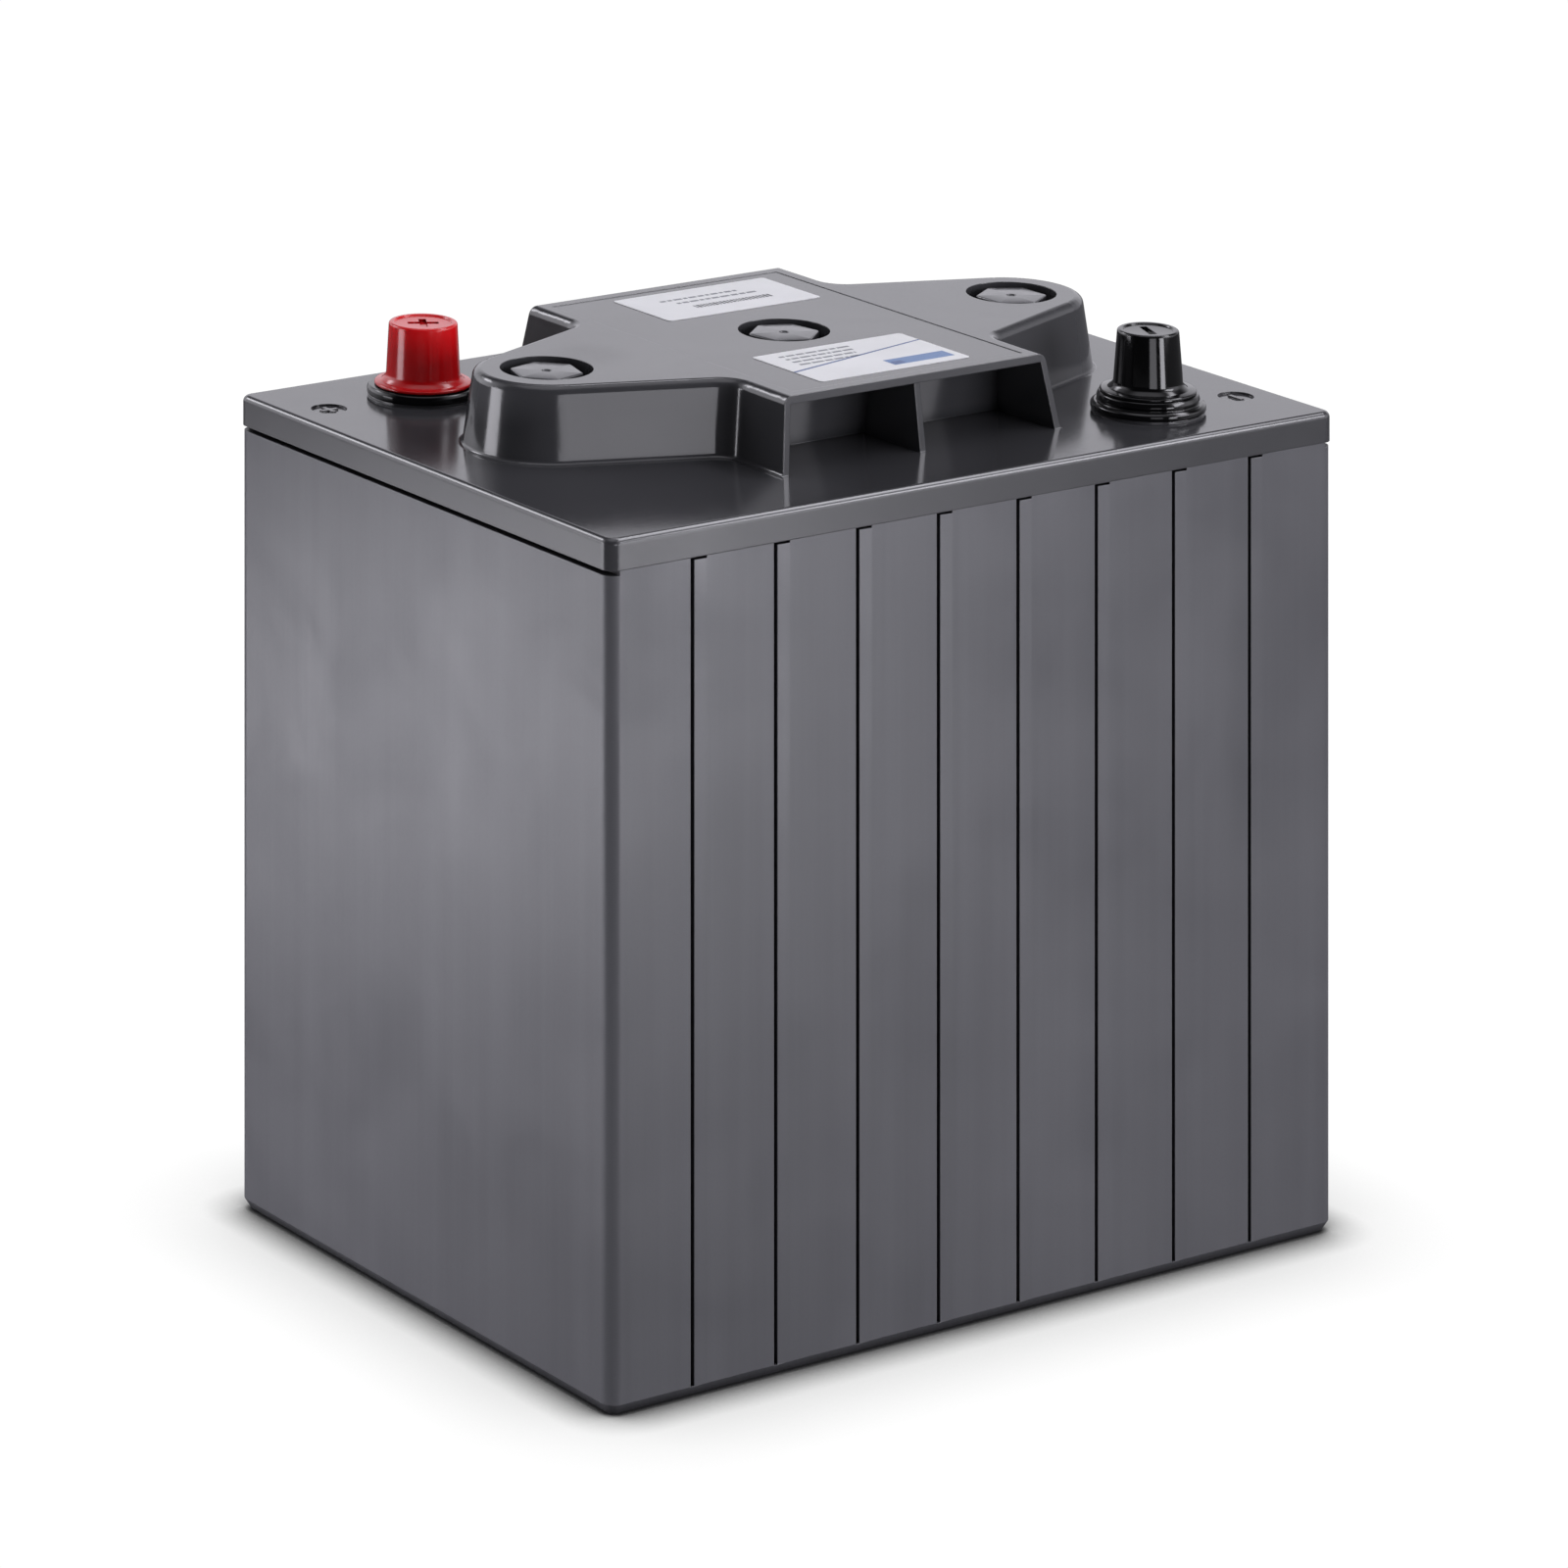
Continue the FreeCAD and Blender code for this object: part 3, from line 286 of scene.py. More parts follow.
def pasted(name, dark, light):
    """Pasted plate: woven grid pressed under the paste."""
    k = Mat(name)
    sx = k.n("ShaderNodeTexWave", wave_type="BANDS", bands_direction="Y")
    k.l(k.co, sx.inputs["Vector"])
    sx.inputs["Scale"].default_value = 38.0
    sz = k.n("ShaderNodeTexWave", wave_type="BANDS", bands_direction="Z")
    k.l(k.co, sz.inputs["Vector"])
    sz.inputs["Scale"].default_value = 52.0
    grid = k.math("MAXIMUM", k.range(sx.outputs["Fac"], 0, 1, 0.86, 0.98), k.range(sz.outputs["Fac"], 0, 1, 0.86, 0.98), clamp=True)
    n = k.noise(420.0, 5.0, 0.7)
    c = k.mix(k.range(n, 0, 1, 0.3, 0.7), dark, light)
    c = k.mix(k.math("MULTIPLY", grid, 0.5), c, (0.30, 0.31, 0.33))
    h = k.math("ADD", k.math("MULTIPLY", n, 0.5), grid)
    k.set(k.p, Base_Color=c, Roughness=k.range(n, 0.7, 0.95, 0.3, 0.7), Normal=k.bump(h, 0.4, 0.0002))
    return k.m


def glass_mat(name):
    k = Mat(name)
    f = k.noise(1.0, 5.0, 0.7, k.scaled(700.0, 3200.0, 500.0), distort=1.5)
    g = k.noise(1.0, 5.0, 0.7, k.scaled(700.0, 500.0, 3200.0), distort=1.5)
    n = k.math("MAXIMUM", f, g)
    c = k.mix(k.range(n, 0, 1, 0.4, 0.7), (0.62, 0.62, 0.60), (0.85, 0.85, 0.84))
    k.set(k.p, Base_Color=c, Roughness=0.9, Normal=k.bump(n, 0.5, 0.0002))
    k.p.inputs["Sheen Weight"].default_value = 0.2
    return k.m


def film(name, rgb, rough=0.32):
    k = Mat(name)
    fib = k.noise(1500.0, 4.0, 0.6)
    big = k.noise(60.0, 3.0, 0.5)
    c = k.mix(k.range(big, 0, 1, 0.3, 0.7), tuple(0.95 * v for v in rgb), tuple(min(1, 1.03 * v) for v in rgb))
    c = k.mix(k.math("MULTIPLY", k.edge(0.0005), 0.4, clamp=True), c, tuple(0.75 * v for v in rgb))
    k.set(k.p, Base_Color=c, Roughness=k.range(fib, rough * 0.85, rough * 1.2, 0.3, 0.7),
          Normal=k.bump(fib, 0.12, 0.00003))
    return k.m


MAT["seal_rubber"] = rubber("seal_rubber")
MAT["lead_post"] = lead("lead_post", (0.20, 0.205, 0.22), (0.46, 0.47, 0.49), 0.36, brushed=True)
MAT["lead_cast"] = lead("lead_cast", (0.16, 0.165, 0.18), (0.36, 0.37, 0.39), 0.5)
MAT["positive_plate"] = pasted("positive_plate", (0.06, 0.022, 0.012), (0.13, 0.055, 0.03))
MAT["negative_plate"] = pasted("negative_plate", (0.13, 0.135, 0.145), (0.24, 0.25, 0.265))
MAT["glass_mat"] = glass_mat("glass_mat")
MAT["label_film"] = film("label_film", (0.74, 0.745, 0.75))
MAT["print_grey"] = film("print_grey", (0.07, 0.072, 0.08), 0.4)
MAT["print_pale"] = film("print_pale", (0.20, 0.21, 0.225), 0.4)
MAT["print_blue"] = film("print_blue", (0.10, 0.20, 0.42), 0.35)
MAT["print_line"] = film("print_line", (0.03, 0.08, 0.25), 0.35)

SLOT = {s["node"]: s["material_slot"] for s in frame["record"]["subparts"]}
for name, obj in N.items():
    obj.data.materials.clear()
    obj.data.materials.append(MAT[SLOT[name]])
    for poly in obj.data.polygons:
        poly.material_index = 0


# ------------------------------------------------------------------ mesh helpers
def add(name, bm, mat, body, slot=None, smooth=True, angle=35):
    me = bpy.data.meshes.new(name)
    bmesh.ops.recalc_face_normals(bm, faces=bm.faces)
    bm.to_mesh(me)
    bm.free()
    o = bpy.data.objects.new(name, me)
    scene.collection.objects.link(o)
    me.materials.append(mat)
    if smooth:
        for p in me.polygons:
            p.use_smooth = True
        me.set_sharp_from_angle(angle=math.radians(angle))
    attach(o, body)
    return o


def lathe(profile, cx, cy, seg=96, closed=True):
    """Solid of revolution about a vertical axis; profile is (radius, z) in metres, walked round the outline."""
    bm = bmesh.new()
    rings = []
    for r, z in profile:
        if r < 1e-7:
            rings.append([bm.verts.new((cx, cy, z))])
        else:
            rings.append([bm.verts.new((cx + r * math.cos(2 * math.pi * i / seg), cy + r * math.sin(2 * math.pi * i / seg), z))
                          for i in range(seg)])
    n = len(rings)
    for a in range(n if closed else n - 1):
        A, B = rings[a], rings[(a + 1) % n]
        if len(A) == 1 and len(B) == 1:
            continue
        for i in range(seg):
            j = (i + 1) % seg
            if len(A) == 1:
                bm.faces.new((A[0], B[j], B[i]))
            elif len(B) == 1:
                bm.faces.new((A[i], A[j], B[0]))
            else:
                bm.faces.new((A[i], A[j], B[j], B[i]))
    return bm


def rounded(points, steps=5):
    """Profile with rounded corners: each point is (r, z) or (r, z, radius)."""
    out = []
    n = len(points)
    for i, p in enumerate(points):
        rad = p[2] if len(p) > 2 else 0.0
        c = Vector(p[:2])
        if rad <= 0:
            out.append((c.x, c.y))
            continue
        a = Vector(points[i - 1][:2]) - c
        b = Vector(points[(i + 1) % n][:2]) - c
        half = a.angle(b) / 2
        t = min(rad / math.tan(half), a.length * 0.49, b.length * 0.49)
        rr = t * math.tan(half)
        a.normalize()
        b.normalize()
        centre = c + (a + b).normalized() * (rr / math.sin(half))
        s, e = c + a * t, c + b * t
        a0 = math.atan2(s.y - centre.y, s.x - centre.x)
        a1 = math.atan2(e.y - centre.y, e.x - centre.x)
        d = (a1 - a0 + math.pi) % (2 * math.pi) - math.pi
        for q in range(steps + 1):
            w = a0 + d * q / steps
            out.append((centre.x + rr * math.cos(w), centre.y + rr * math.sin(w)))
    return out


def boolean(o, tool, op="DIFFERENCE"):
    """Applies one exact boolean and drops the tool."""
    md = o.modifiers.new("b", "BOOLEAN")
    md.operation = op
    md.solver = "EXACT"
    md.object = tool
    dg = bpy.context.evaluated_depsgraph_get()
    me = bpy.data.meshes.new_from_object(o.evaluated_get(dg))
    o.modifiers.clear()
    old = o.data
    o.data = me
    bpy.data.meshes.remove(old)
    bpy.data.objects.remove(tool)
    return o


def loose(name, bm):
    me = bpy.data.meshes.new(name)
    bmesh.ops.recalc_face_normals(bm, faces=bm.faces)
    bm.to_mesh(me)
    bm.free()
    o = bpy.data.objects.new(name, me)
    scene.collection.objects.link(o)
    return o


def tidy(o, near=4e-6):
    """Merges the slivers that booleans leave, so that the mesh stays closed."""
    bm = bmesh.new()
    bm.from_mesh(o.data)
    bmesh.ops.remove_doubles(bm, verts=bm.verts, dist=near)
    bmesh.ops.dissolve_degenerate(bm, edges=bm.edges, dist=near)
    bmesh.ops.triangulate(bm, faces=[f for f in bm.faces if len(f.verts) > 4])
    bmesh.ops.dissolve_degenerate(bm, edges=bm.edges, dist=near)
    bm.to_mesh(o.data)
    bm.free()
    return o


def dress(o, mat, body, angle=35):
    me = o.data
    me.materials.clear()
    me.materials.append(mat)
    for p in me.polygons:
        p.use_smooth = True
        p.material_index = 0
    me.set_sharp_from_angle(angle=math.radians(angle))
    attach(o, body)
    return o


def prism(outline, z0, z1, cx=0.0, cy=0.0):
    bm = bmesh.new()
    lo_ = [bm.verts.new((cx + x, cy + y, z0)) for x, y in outline]
    hi_ = [bm.verts.new((cx + x, cy + y, z1)) for x, y in outline]
    n = len(outline)
    bm.faces.new(list(reversed(lo_)))
    bm.faces.new(hi_)
    for i in range(n):
        j = (i + 1) % n
        bm.faces.new((lo_[i], lo_[j], hi_[j], hi_[i]))
    return bm


def rrect(w, d, r, steps=4):
    pts = []
    for sx, sy, a0 in ((1, -1, -90), (1, 1, 0), (-1, 1, 90), (-1, -1, 180)):
        for i in range(steps + 1):
            a = math.radians(a0 + 90.0 * i / steps)
            pts.append((sx * (w / 2 - r) + r * math.cos(a), sy * (d / 2 - r) + r * math.sin(a)))
    return pts


def centre(node):
    a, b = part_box(node)
    return (a.x + b.x) / 2, (a.y + b.y) / 2, a, b


# ------------------------------------------------------------------ terminal caps and collars
def terminal_cap(pol, r_brim, r_low, r_top, hollow_low, hollow_top, hollow_z, mat):
    cx, cy, a, b = centre("terminal_cap_" + pol)
    z0, z1 = a.z, b.z
    zh = hollow_z
    prof = rounded([
        (0.0, z1 - 0.45 * MM), (r_top - 1.9 * MM, z1 - 0.45 * MM, 0.25 * MM), (r_top - 1.55 * MM, z1, 0.2 * MM),
        (r_top, z1, 0.75 * MM), (r_low - 0.1 * MM, z0 + 2.6 * MM, 2.0 * MM), (r_low + 1.4 * MM, z0 + 1.25 * MM, 0.9 * MM),
        (r_brim, z0 + 0.95 * MM, 0.42 * MM), (r_brim, z0, 0.42 * MM), (hollow_low, z0, 0.2 * MM),
        (hollow_top, zh, 0.6 * MM), (0.0, zh)], 6)
    o = loose("cap_" + pol, lathe(prof, cx, cy, 128, closed=False))
    bar, wid = 4.5 * MM, 1.1 * MM
    ca, sa = math.cos(math.radians(MARK[pol])), math.sin(math.radians(MARK[pol]))
    if pol == "positive":
        outline = [(wid, -bar), (wid, -wid), (bar, -wid), (bar, wid), (wid, wid), (wid, bar),
                   (-wid, bar), (-wid, wid), (-bar, wid), (-bar, -wid), (-wid, -wid), (-wid, -bar)]
    else:
        outline = rrect(2 * wid, 2 * bar, 0.35 * MM)
    outline = [(x * ca - y * sa, x * sa + y * ca) for x, y in outline]
    boolean(o, loose("t", prism(outline, z1 - 1.3 * MM, z1 + 2 * MM, cx, cy)))
    dress(o, mat, pol + "_cap", 40)
    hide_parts("terminal_cap_" + pol)
    return o


POST = {"positive": (9.73, 8.75), "negative": (8.93, 7.95)}
MARK = {"positive": -31.0, "negative": -21.0}
SEAT, POST_TOP = 237.7, 255.4


def post_r(pol, z):
    r0, r1 = POST[pol]
    return (r0 + (r1 - r0) * (z * 1000 - SEAT) / (POST_TOP - SEAT)) * MM


for pol, brim, rl, rt, mat in (("positive", 14.2, 10.95, 10.0, "red_cap"), ("negative", 13.9, 10.15, 8.85, "black_cap")):
    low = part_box("terminal_cap_" + pol)[0].z
    terminal_cap(pol, brim * MM, rl * MM, rt * MM, post_r(pol, low) + 0.08 * MM, post_r(pol, POST_TOP * MM) + 0.08 * MM, POST_TOP * MM, MAT[mat])
    cx, cy, a, b = centre("terminal_collar_" + pol)
    bore = POST[pol][0] * MM + 0.06 * MM
    if pol == "positive":
        R = b.x - cx
        prof = rounded([(bore, a.z), (R, a.z, 0.3 * MM), (R, a.z + 1.5 * MM, 0.5 * MM), (R - 0.6 * MM, b.z, 0.5 * MM), (bore, b.z, 0.2 * MM)], 6)
    else:
        R = b.x - cx
        mid = 0.2401
        prof = rounded([(bore, a.z), (R, a.z, 0.35 * MM), (R, a.z + 1.5 * MM, 0.8 * MM), (R - 1.0 * MM, mid - 0.35 * MM, 0.6 * MM),
                        (14.9 * MM - 0.5 * MM, mid - 0.35 * MM, 0.35 * MM), (14.9 * MM, mid + 0.9 * MM, 0.8 * MM),
                        (14.3 * MM, b.z, 0.6 * MM), (bore, b.z, 0.2 * MM)], 6)
    o = dress(loose("collar_" + pol, lathe(prof, cx, cy, 128)), MAT["collar_plastic"], "housing", 40)
    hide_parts("terminal_collar_" + pol)
    # tapered lead post with turned shoulder and softened top, open for the riser
    pa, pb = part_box("terminal_post_" + pol)
    rb = 6.55 * MM
    prof = rounded([(rb, pa.z), (15 * MM, pa.z, 0.4 * MM), (15 * MM, 0.2318, 0.3 * MM), (11 * MM, 0.2318), (11 * MM, SEAT * MM, 0.2 * MM),
                    (POST[pol][0] * MM, SEAT * MM), (POST[pol][1] * MM + 0.02 * MM, pb.z - 0.4 * MM, 0.5 * MM),
                    (POST[pol][1] * MM - 0.5 * MM, pb.z, 0.3 * MM), (rb, pb.z, 0.25 * MM)], 5)
    o = dress(loose("post_" + pol, lathe(prof, cx, cy, 96)), MAT["lead_post"], "housing", 40)
    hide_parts("terminal_post_" + pol)


# ------------------------------------------------------------------ valve plugs
def thread(cx, cy, z0, z1, r, depth, pitch, seg=72):
    """Right-hand thread cut inwards from radius r; flat closed ends."""
    per = 10
    nz = max(2, int(round((z1 - z0) / pitch * per)))
    bm = bmesh.new()
    rings = []
    for q in range(nz + 1):
        z = z0 + (z1 - z0) * q / nz
        ring = []
        for i in range(seg):
            a = 2 * math.pi * i / seg
            ph = ((z - z0) / pitch - a / (2 * math.pi)) % 1.0
            tri = 1 - abs(2 * ph - 1)
            cutd = depth * min(1.0, max(0.0, (tri - 0.12) / 0.76))
            fade = min(1.0, (z - z0) / (0.6 * pitch), (z1 - z) / (0.6 * pitch))
            rr = r - depth * (1 - fade) * 0.6 - cutd * max(fade, 0.0)
            rr = max(rr, r - depth)
            ring.append(bm.verts.new((cx + rr * math.cos(a), cy + rr * math.sin(a), z)))
        rings.append(ring)
    for A, B in zip(rings, rings[1:]):
        for i in range(seg):
            j = (i + 1) % seg
            bm.faces.new((A[i], A[j], B[j], B[i]))
    bm.faces.new(list(reversed(rings[0])))
    bm.faces.new(rings[-1])
    return bm


TURN = {1: 13.0, 2: 39.0, 3: 32.0}
HEX = 10.7 * MM
for k in (1, 2, 3):
    cx, cy, a, b = centre("vent_plug_%d" % k)
    ztop, zft, zfl, zlow = b.z, 0.2523, 0.2498, a.z
    # hexagonal head
    bm = prism([(HEX * math.cos(math.radians(60 * i + TURN[k])), HEX * math.sin(math.radians(60 * i + TURN[k])))
                for i in range(6)], zft - 0.6 * MM, ztop, cx, cy)
    up = [e for e in bm.edges if abs(e.verts[0].co.z - e.verts[1].co.z) > 1e-4]
    bmesh.ops.bevel(bm, geom=up, offset=0.7 * MM, segments=4, profile=0.5, affect="EDGES")
    tops = [e for e in bm.edges if min(v.co.z for v in e.verts) > ztop - 1e-6]
    bmesh.ops.bevel(bm, geom=tops, offset=0.5 * MM, segments=4, profile=0.5, affect="EDGES")
    o = loose("plug_%d" % k, bm)
    # gate dimple in the head
    boolean(o, loose("t", lathe(rounded([(0, ztop - 0.35 * MM), (1.3 * MM, ztop - 0.35 * MM, 0.3 * MM), (1.9 * MM, ztop + 1 * MM), (0, ztop + 1 * MM)], 3),
                                cx, cy, 40, closed=False)))
    flange = loose("t", lathe(rounded([(0, zfl), (12 * MM, zfl, 0.35 * MM), (12 * MM, zft - 0.3 * MM, 0.6 * MM), (11 * MM, zft, 0.5 * MM), (0, zft)], 4),
                              cx, cy, 96, closed=False))
    boolean(o, flange, "UNION")
    boolean(o, loose("t", thread(cx, cy, zlow, zfl + 0.4 * MM, 8.95 * MM, 0.62 * MM, 1.5 * MM)), "UNION")
    boolean(o, loose("t", lathe([(0, zlow - 1 * MM), (6.5 * MM, zlow - 1 * MM), (6.5 * MM, 0.2470), (0, 0.2470)], cx, cy, 64, closed=False)))
    tidy(o)
    dress(o, MAT["plug_plastic"], "plug_%d" % k, 32)
    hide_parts("vent_plug_%d" % k)
    # seal ring, a little flattened where it sits
    sa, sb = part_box("plug_seal_%d" % k)
    prof = [(10.4 * MM + 0.9 * MM * math.cos(t), (sa.z + sb.z) / 2 + 0.9 * MM * max(-0.97, min(0.97, math.sin(t))))
            for t in (2 * math.pi * i / 24 for i in range(24))]
    o = dress(loose("seal_%d" % k, lathe(prof, cx, cy, 96)), MAT["seal_rubber"], "plug_ring_%d" % k, 60)
    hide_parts("plug_seal_%d" % k)


# ------------------------------------------------------------------ labels
def slab(w, d, r, z0, z1, cx, cy):
    return prism(rrect(w, d, r, 5), z0, z1, cx, cy)


def quad(points, z0, z1):
    bm = prism(points, z0, z1)
    return bm


def join(bms):
    out = bmesh.new()
    for bm in bms:
        me = bpy.data.meshes.new("j")
        bm.to_mesh(me)
        bm.free()
        out.from_mesh(me)
        bpy.data.meshes.remove(me)
    return out


LABEL_T = 0.15 * MM
INK = 0.03 * MM
for side in ("rear", "front"):
    cx, cy, a, b = centre("label_" + side)
    w, d = b.x - a.x, b.y - a.y
    o = dress(loose("label_" + side, slab(w, d, 1.2 * MM, a.z, b.z, cx, cy)), MAT["label_film"], "housing", 30)
    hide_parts("label_" + side)
    z0, z1 = b.z, b.z + INK

    def bar(u0, u1, v0, v1):
        """u along X from the left edge, v from the back edge towards the front, both 0 to 1."""
        return prism([(a.x + u0 * w, b.y - v1 * d), (a.x + u1 * w, b.y - v1 * d),
                      (a.x + u1 * w, b.y - v0 * d), (a.x + u0 * w, b.y - v0 * d)], z0, z1)

    def dashes(u0, u1, v, high, lo_, hi_, gap):
        out, u = [], u0
        while u < u1 - 0.005:
            step = random.uniform(lo_, hi_)
            out.append(bar(u, min(u + step, u1), v, v + high))
            u += step + gap
        return out

    if side == "rear":
        grey = dashes(0.20, 0.70, 0.28, 0.045, 0.02, 0.07, 0.012) + dashes(0.26, 0.78, 0.42, 0.045, 0.02, 0.06, 0.012)
        dark = dashes(0.30, 0.80, 0.60, 0.10, 0.008, 0.020, 0.009)
        dress(loose("label_rear_lines", join(grey)), MAT["print_pale"], "housing", 30)
        dress(loose("label_rear_bars", join(dark)), MAT["print_grey"], "housing", 30)
    else:
        pale = []
        for v in (0.12, 0.22, 0.32, 0.42):
            pale += dashes(0.12, 0.62 - 0.25 * v, v, 0.035, 0.02, 0.08, 0.012)
        dress(loose("label_front_lines", join(pale)), MAT["print_pale"], "housing", 30)
        P = lambda u, v: (a.x + u * w, b.y - v * d)
        line = prism([P(0.0, 0.635), P(1.0, 0.285), P(1.0, 0.265), P(0.0, 0.605)], z0, z1)
        dress(loose("label_front_line", line), MAT["print_line"], "housing", 30)
        block = [bar(0.55, 0.95, 0.70, 0.88)]
        dress(loose("label_front_block", join(block)), MAT["print_blue"], "housing", 30)
        dress(loose("label_front_tab", prism([P(0.56, 0.86), P(0.63, 0.86), P(0.63, 0.78), P(0.56, 0.78)], z1, z1 + INK)),
              MAT["print_line"], "housing", 30)


# ------------------------------------------------------------------ stage, light, camera
def studio():
    me = bpy.data.meshes.new("floor")
    bm = bmesh.new()
    bmesh.ops.create_grid(bm, x_segments=8, y_segments=8, size=12.0)
    bm.to_mesh(me)
    bm.free()
    floor = bpy.data.objects.new("floor", me)
    scene.collection.objects.link(floor)
    floor.location.z = -0.0002
    # white sweep: soft contact shadow for the camera, mid grey for what the block reflects and receives
    k = Mat("floor_white")
    n = k.noise(2.0, 3.0)
    near = k.n("ShaderNodeAmbientOcclusion", samples=8)
    near.inputs["Distance"].default_value = FLOOR["contact"]
    wide = k.n("ShaderNodeAmbientOcclusion", samples=8)
    wide.inputs["Distance"].default_value = FLOOR["halo"]
    shade = k.math("MULTIPLY", k.math("POWER", k.range(near.outputs["AO"], 0.0, 1.0, 0.42, 1.0), FLOOR["p1"], clamp=True),
                   k.math("POWER", wide.outputs["AO"], FLOOR["p2"], clamp=True))
    lamp = k.n("ShaderNodeEmission")
    k.l(k.mix(shade, (0.012, 0.012, 0.013), (1.02, 1.02, 1.02)), lamp.inputs["Color"])
    lp = k.n("ShaderNodeLightPath")
    both = k.n("ShaderNodeMixShader")
    k.l(lp.outputs["Is Camera Ray"], both.inputs[0])
    k.l(k.p.outputs[0], both.inputs[1])
    k.l(lamp.outputs[0], both.inputs[2])
    k.l(both.outputs[0], k.out.inputs[0])
    g = FLOOR["grey"]
    k.set(k.p, Base_Color=k.mix(n, (0.97 * g, 0.97 * g, 0.97 * g), (1.03 * g, 1.03 * g, 1.03 * g)), Roughness=0.9)
    me.materials.append(k.m)

    # surroundings: soft lobes of light at given azimuth and height over a dim room; the camera sees white
    w = bpy.data.worlds.new("studio")
    scene.world = w
    w.use_nodes = True
    t = w.node_tree
    t.nodes.clear()

    def node(kind, **kw):
        n = t.nodes.new(kind)
        for k_, v_ in kw.items():
            setattr(n, k_, v_)
        return n

    def calc(op, a_, b_, c_=None):
        m = node("ShaderNodeMath", operation=op)
        for i, v in enumerate((a_, b_, c_)):
            if v is None:
                continue
            if isinstance(v, float):
                m.inputs[i].default_value = v
            else:
                t.links.new(v, m.inputs[i])
        return m.outputs[0]

    co = node("ShaderNodeTexCoord").outputs["Generated"]
    sep = node("ShaderNodeSeparateXYZ")
    t.links.new(co, sep.inputs[0])
    az = calc("ARCTAN2", sep.outputs[1], sep.outputs[0])
    el = calc("ARCSINE", sep.outputs[2], 0.0)
    total = calc("ADD", WORLD_BASE, 0.0)
    for azimuth, height, half_wide, half_high, level_ in LOBES:
        # azimuth difference brought to -pi..pi, then a smooth bell in azimuth and in height
        d = calc("WRAP", calc("SUBTRACT", az, math.radians(azimuth)), math.pi, -math.pi)
        u = calc("DIVIDE", d, math.radians(half_wide))
        v = calc("DIVIDE", calc("SUBTRACT", el, math.radians(height)), math.radians(half_high))
        q = calc("ADD", calc("POWER", calc("ABSOLUTE", u, 0.0), 3.0), calc("POWER", calc("ABSOLUTE", v, 0.0), 3.0))
        total = calc("MULTIPLY_ADD", calc("EXPONENT", calc("MULTIPLY", q, -0.6931), 0.0), float(level_), total)
    lp = node("ShaderNodeLightPath")
    seen = node("ShaderNodeMix", data_type="FLOAT")
    t.links.new(lp.outputs["Is Camera Ray"], seen.inputs[0])
    t.links.new(total, seen.inputs[2])
    seen.inputs[3].default_value = 1.02
    out = node("ShaderNodeOutputWorld")
    bg = node("ShaderNodeBackground")
    bg.inputs[0].default_value = (0.99, 0.98, 1.05, 1)
    t.links.new(seen.outputs[0], bg.inputs[1])
    t.links.new(bg.outputs[0], out.inputs[0])

    for name, (loc, target, wide, high, bright, use) in SOFTBOX.items():
        d = bpy.data.lights.new(name, "AREA")
        d.shape = "RECTANGLE"
        d.size, d.size_y = wide, high
        d.energy = bright * 4.0 * wide * high
        d.color = (0.99, 0.98, 1.05)
        o = bpy.data.objects.new(name, d)
        o.location = loc
        o.rotation_mode = "QUATERNION"
        o.rotation_quaternion = (Vector(loc) - Vector(target)).to_track_quat("Z", "Y")
        o.visible_camera = False
        o.visible_glossy = use == "glint"
        o.visible_diffuse = use == "fill"
        scene.collection.objects.link(o)


# place, aim, width, height, brightness and use of the near softboxes
SOFTBOX = {
    "left_glow": ((-0.42, 0.03, 0.07), (-0.13, 0.01, 0.06), 0.14, 0.10, 13.0, "fill"),
    "front_glow": ((0.10, -0.55, 0.08), (0.0, -0.09, 0.08), 0.40, 0.12, 2.0, "fill"),
    "cap_glow": ((-0.85, -0.80, 0.36), (0.0, 0.0, 0.17), 0.40, 0.40, 1.2, "fill"),
    "front_key": ((0.23, -0.91, 0.44), (0.0, -0.04, 0.22), 0.50, 0.30, 7.6, "fill"),
    "left_strip": ((-0.551, 0.241, 0.17), (-0.084, 0.062, 0.25), 0.20, 0.40, 4.2, "glint"),
    "front_strip": ((0.162, -0.556, 0.17), (0.084, -0.062, 0.25), 0.14, 0.40, 6.5, "glint"),
    "wall_strip": ((-0.17, -0.62, 0.27), (-0.08, -0.03, 0.245), 0.26, 0.16, 1.8, "glint"),
    "pocket_strip": ((0.355, -0.43, 0.51), (0.0, -0.05, 0.24), 0.26, 0.16, 6.0, "glint"),
    "side_strip": ((-0.33, 0.30, 0.06), (-0.13, 0.0, 0.14), 0.14, 0.14, 2.5, "glint"),
}
FLOOR = {"grey": 0.10, "contact": 0.014, "halo": 0.05, "p1": 0.9, "p2": 0.6}
WORLD_BASE = 0.02
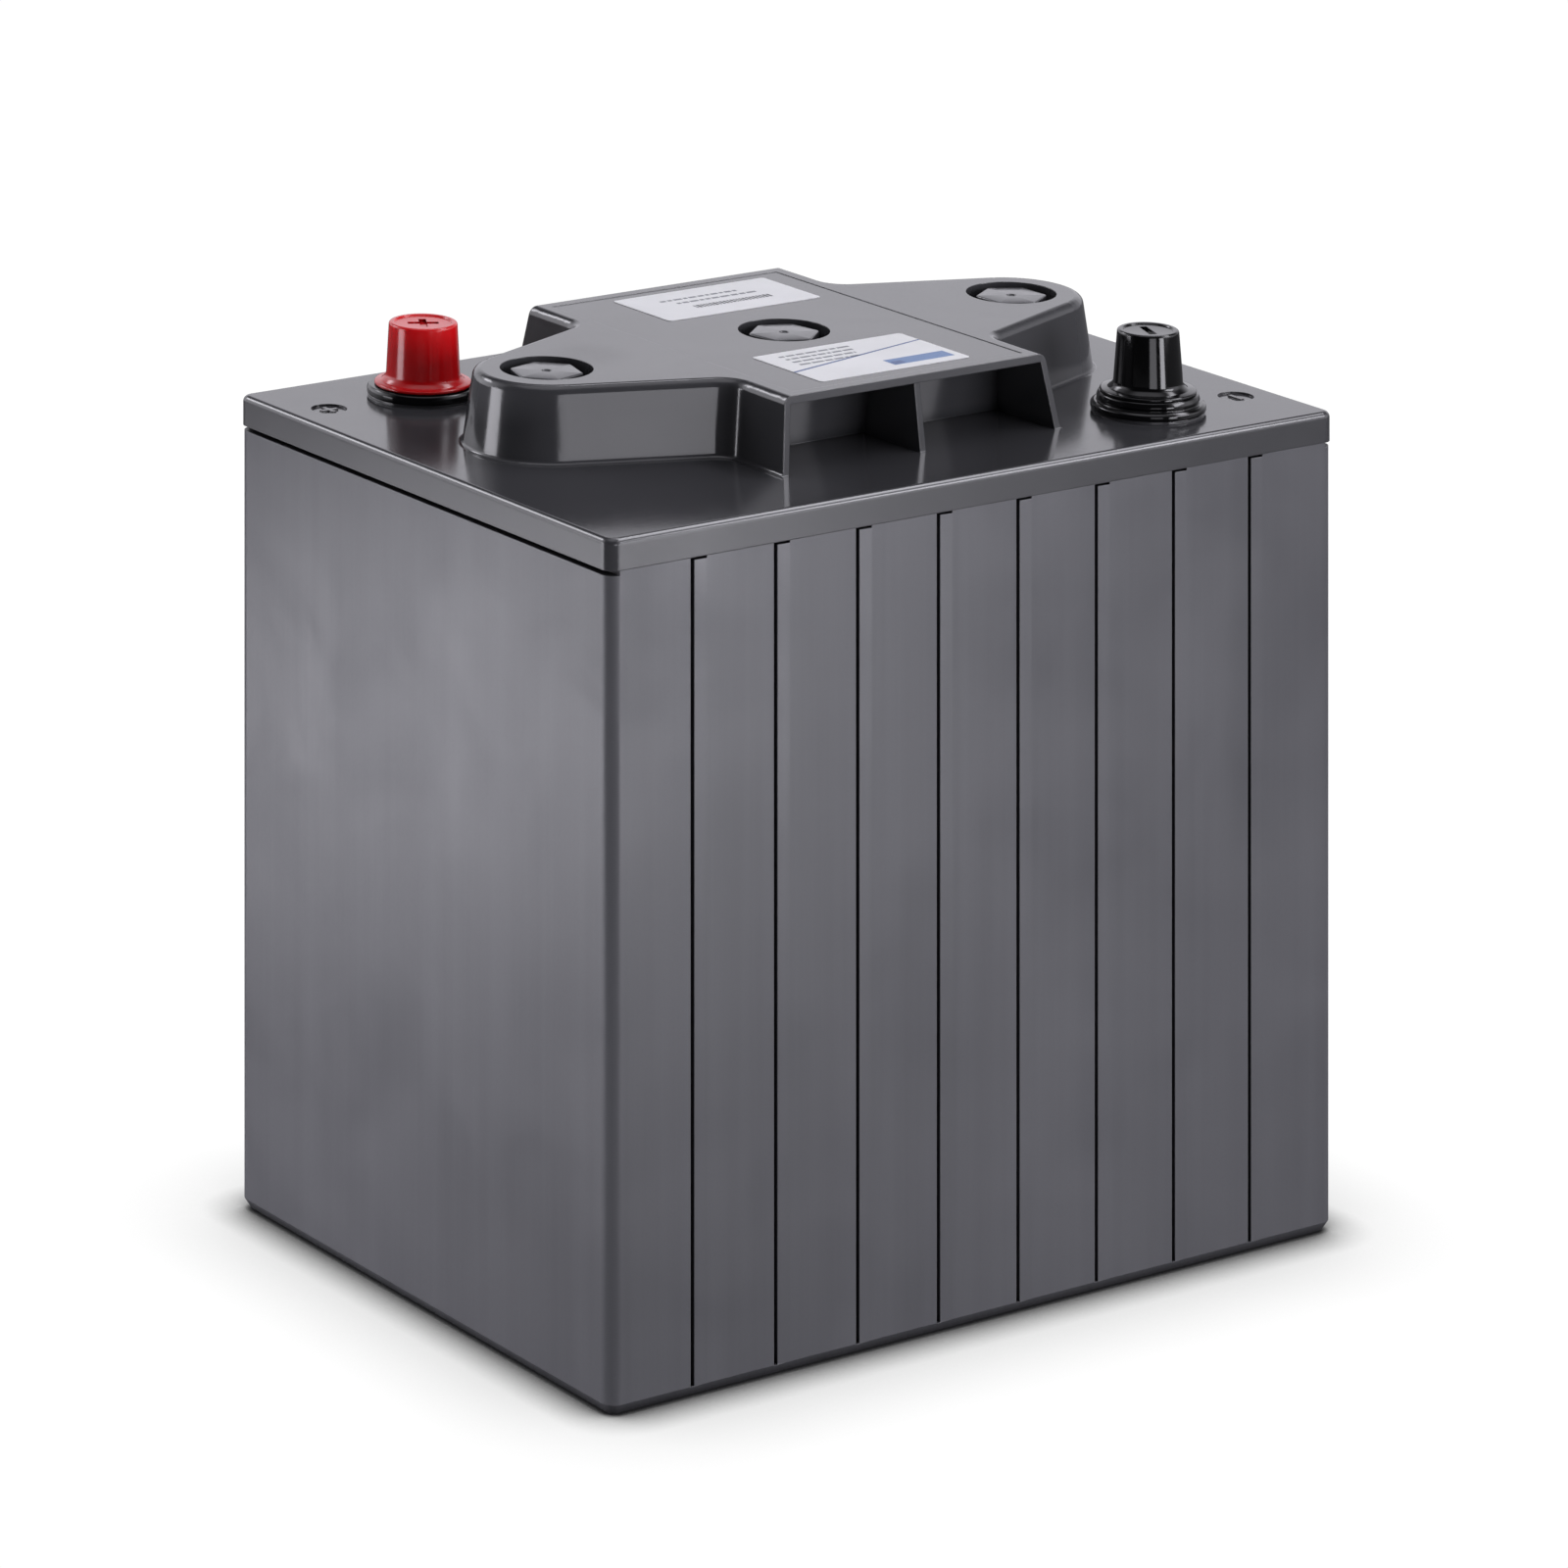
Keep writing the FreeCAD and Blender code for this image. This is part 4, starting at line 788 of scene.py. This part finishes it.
# azimuth from +X and height in degrees, half widths at half brightness, brightness
LOBES = [
    (65.0, 12.0, 62.0, 14.0, 1.05),     # white behind, mirrored by the lid and the top of the block
    (318.0, 20.0, 26.0, 26.0, 1.6),     # front right, on the long side
    (125.0, 20.0, 24.0, 26.0, 1.5),     # left, on the short side
    (20.0, 80.0, 400.0, 14.0, 1.0),     # overhead
    (5.0, 53.0, 42.0, 4.5, 7.0),        # glints on the upper edges of the long and the short sides
    (108.0, 33.0, 12.0, 4.5, 7.0),
]
studio()

# The camera looks level along yaw 31.3 degrees with the frame shifted down onto the block, which keeps
# the block's uprights upright. The shift holds only at this camera station: it falls to zero when the
# camera is moved anywhere else, so every other view is an ordinary centred one.
STATION = Vector((-1.250, -1.600, 0.757))
YAW = math.radians(31.31)
ZOOM = 2.45
F_PX = 2892.0 * ZOOM
cam_data = bpy.data.cameras.new("camera")
cam = bpy.data.objects.new("camera", cam_data)
scene.collection.objects.link(cam)
scene.camera = cam
cam_data.sensor_width = 36.0
cam_data.lens = F_PX / 1600.0 * 36.0
cam.location = STATION
fwd = Vector((math.sin(YAW), math.cos(YAW), 0.0))
cam.rotation_mode = "QUATERNION"
cam.rotation_quaternion = fwd.to_track_quat("-Z", "Y")
cam_data.clip_start, cam_data.clip_end = 0.05, 60.0
right = Vector((math.cos(YAW), -math.sin(YAW), 0.0))
aim = Vector((0.0, 0.0, 0.126)) - STATION
depth = aim.dot(fwd)
SHIFT_X = cam_data.lens / 36.0 * aim.dot(right) / depth
SHIFT_Y = cam_data.lens / 36.0 * aim.z / depth
station = bpy.data.objects.new("camera_station", None)
scene.collection.objects.link(station)
station.location = STATION
for prop, value in (("shift_x", SHIFT_X), ("shift_y", SHIFT_Y)):
    fc = cam_data.driver_add(prop)
    drv = fc.driver
    drv.type = "SUM"
    var = drv.variables.new()
    var.name = "away"
    var.type = "LOC_DIFF"
    var.targets[0].id = cam
    var.targets[1].id = station
    for mod in list(fc.modifiers):
        fc.modifiers.remove(mod)
    for x, y in ((0.0, value), (0.1, 0.0), (10.0, 0.0)):
        kp = fc.keyframe_points.insert(x, y)
        kp.interpolation = "LINEAR"
    fc.extrapolation = "CONSTANT"

scene.view_settings.view_transform = "Standard"
scene.view_settings.look = "None"
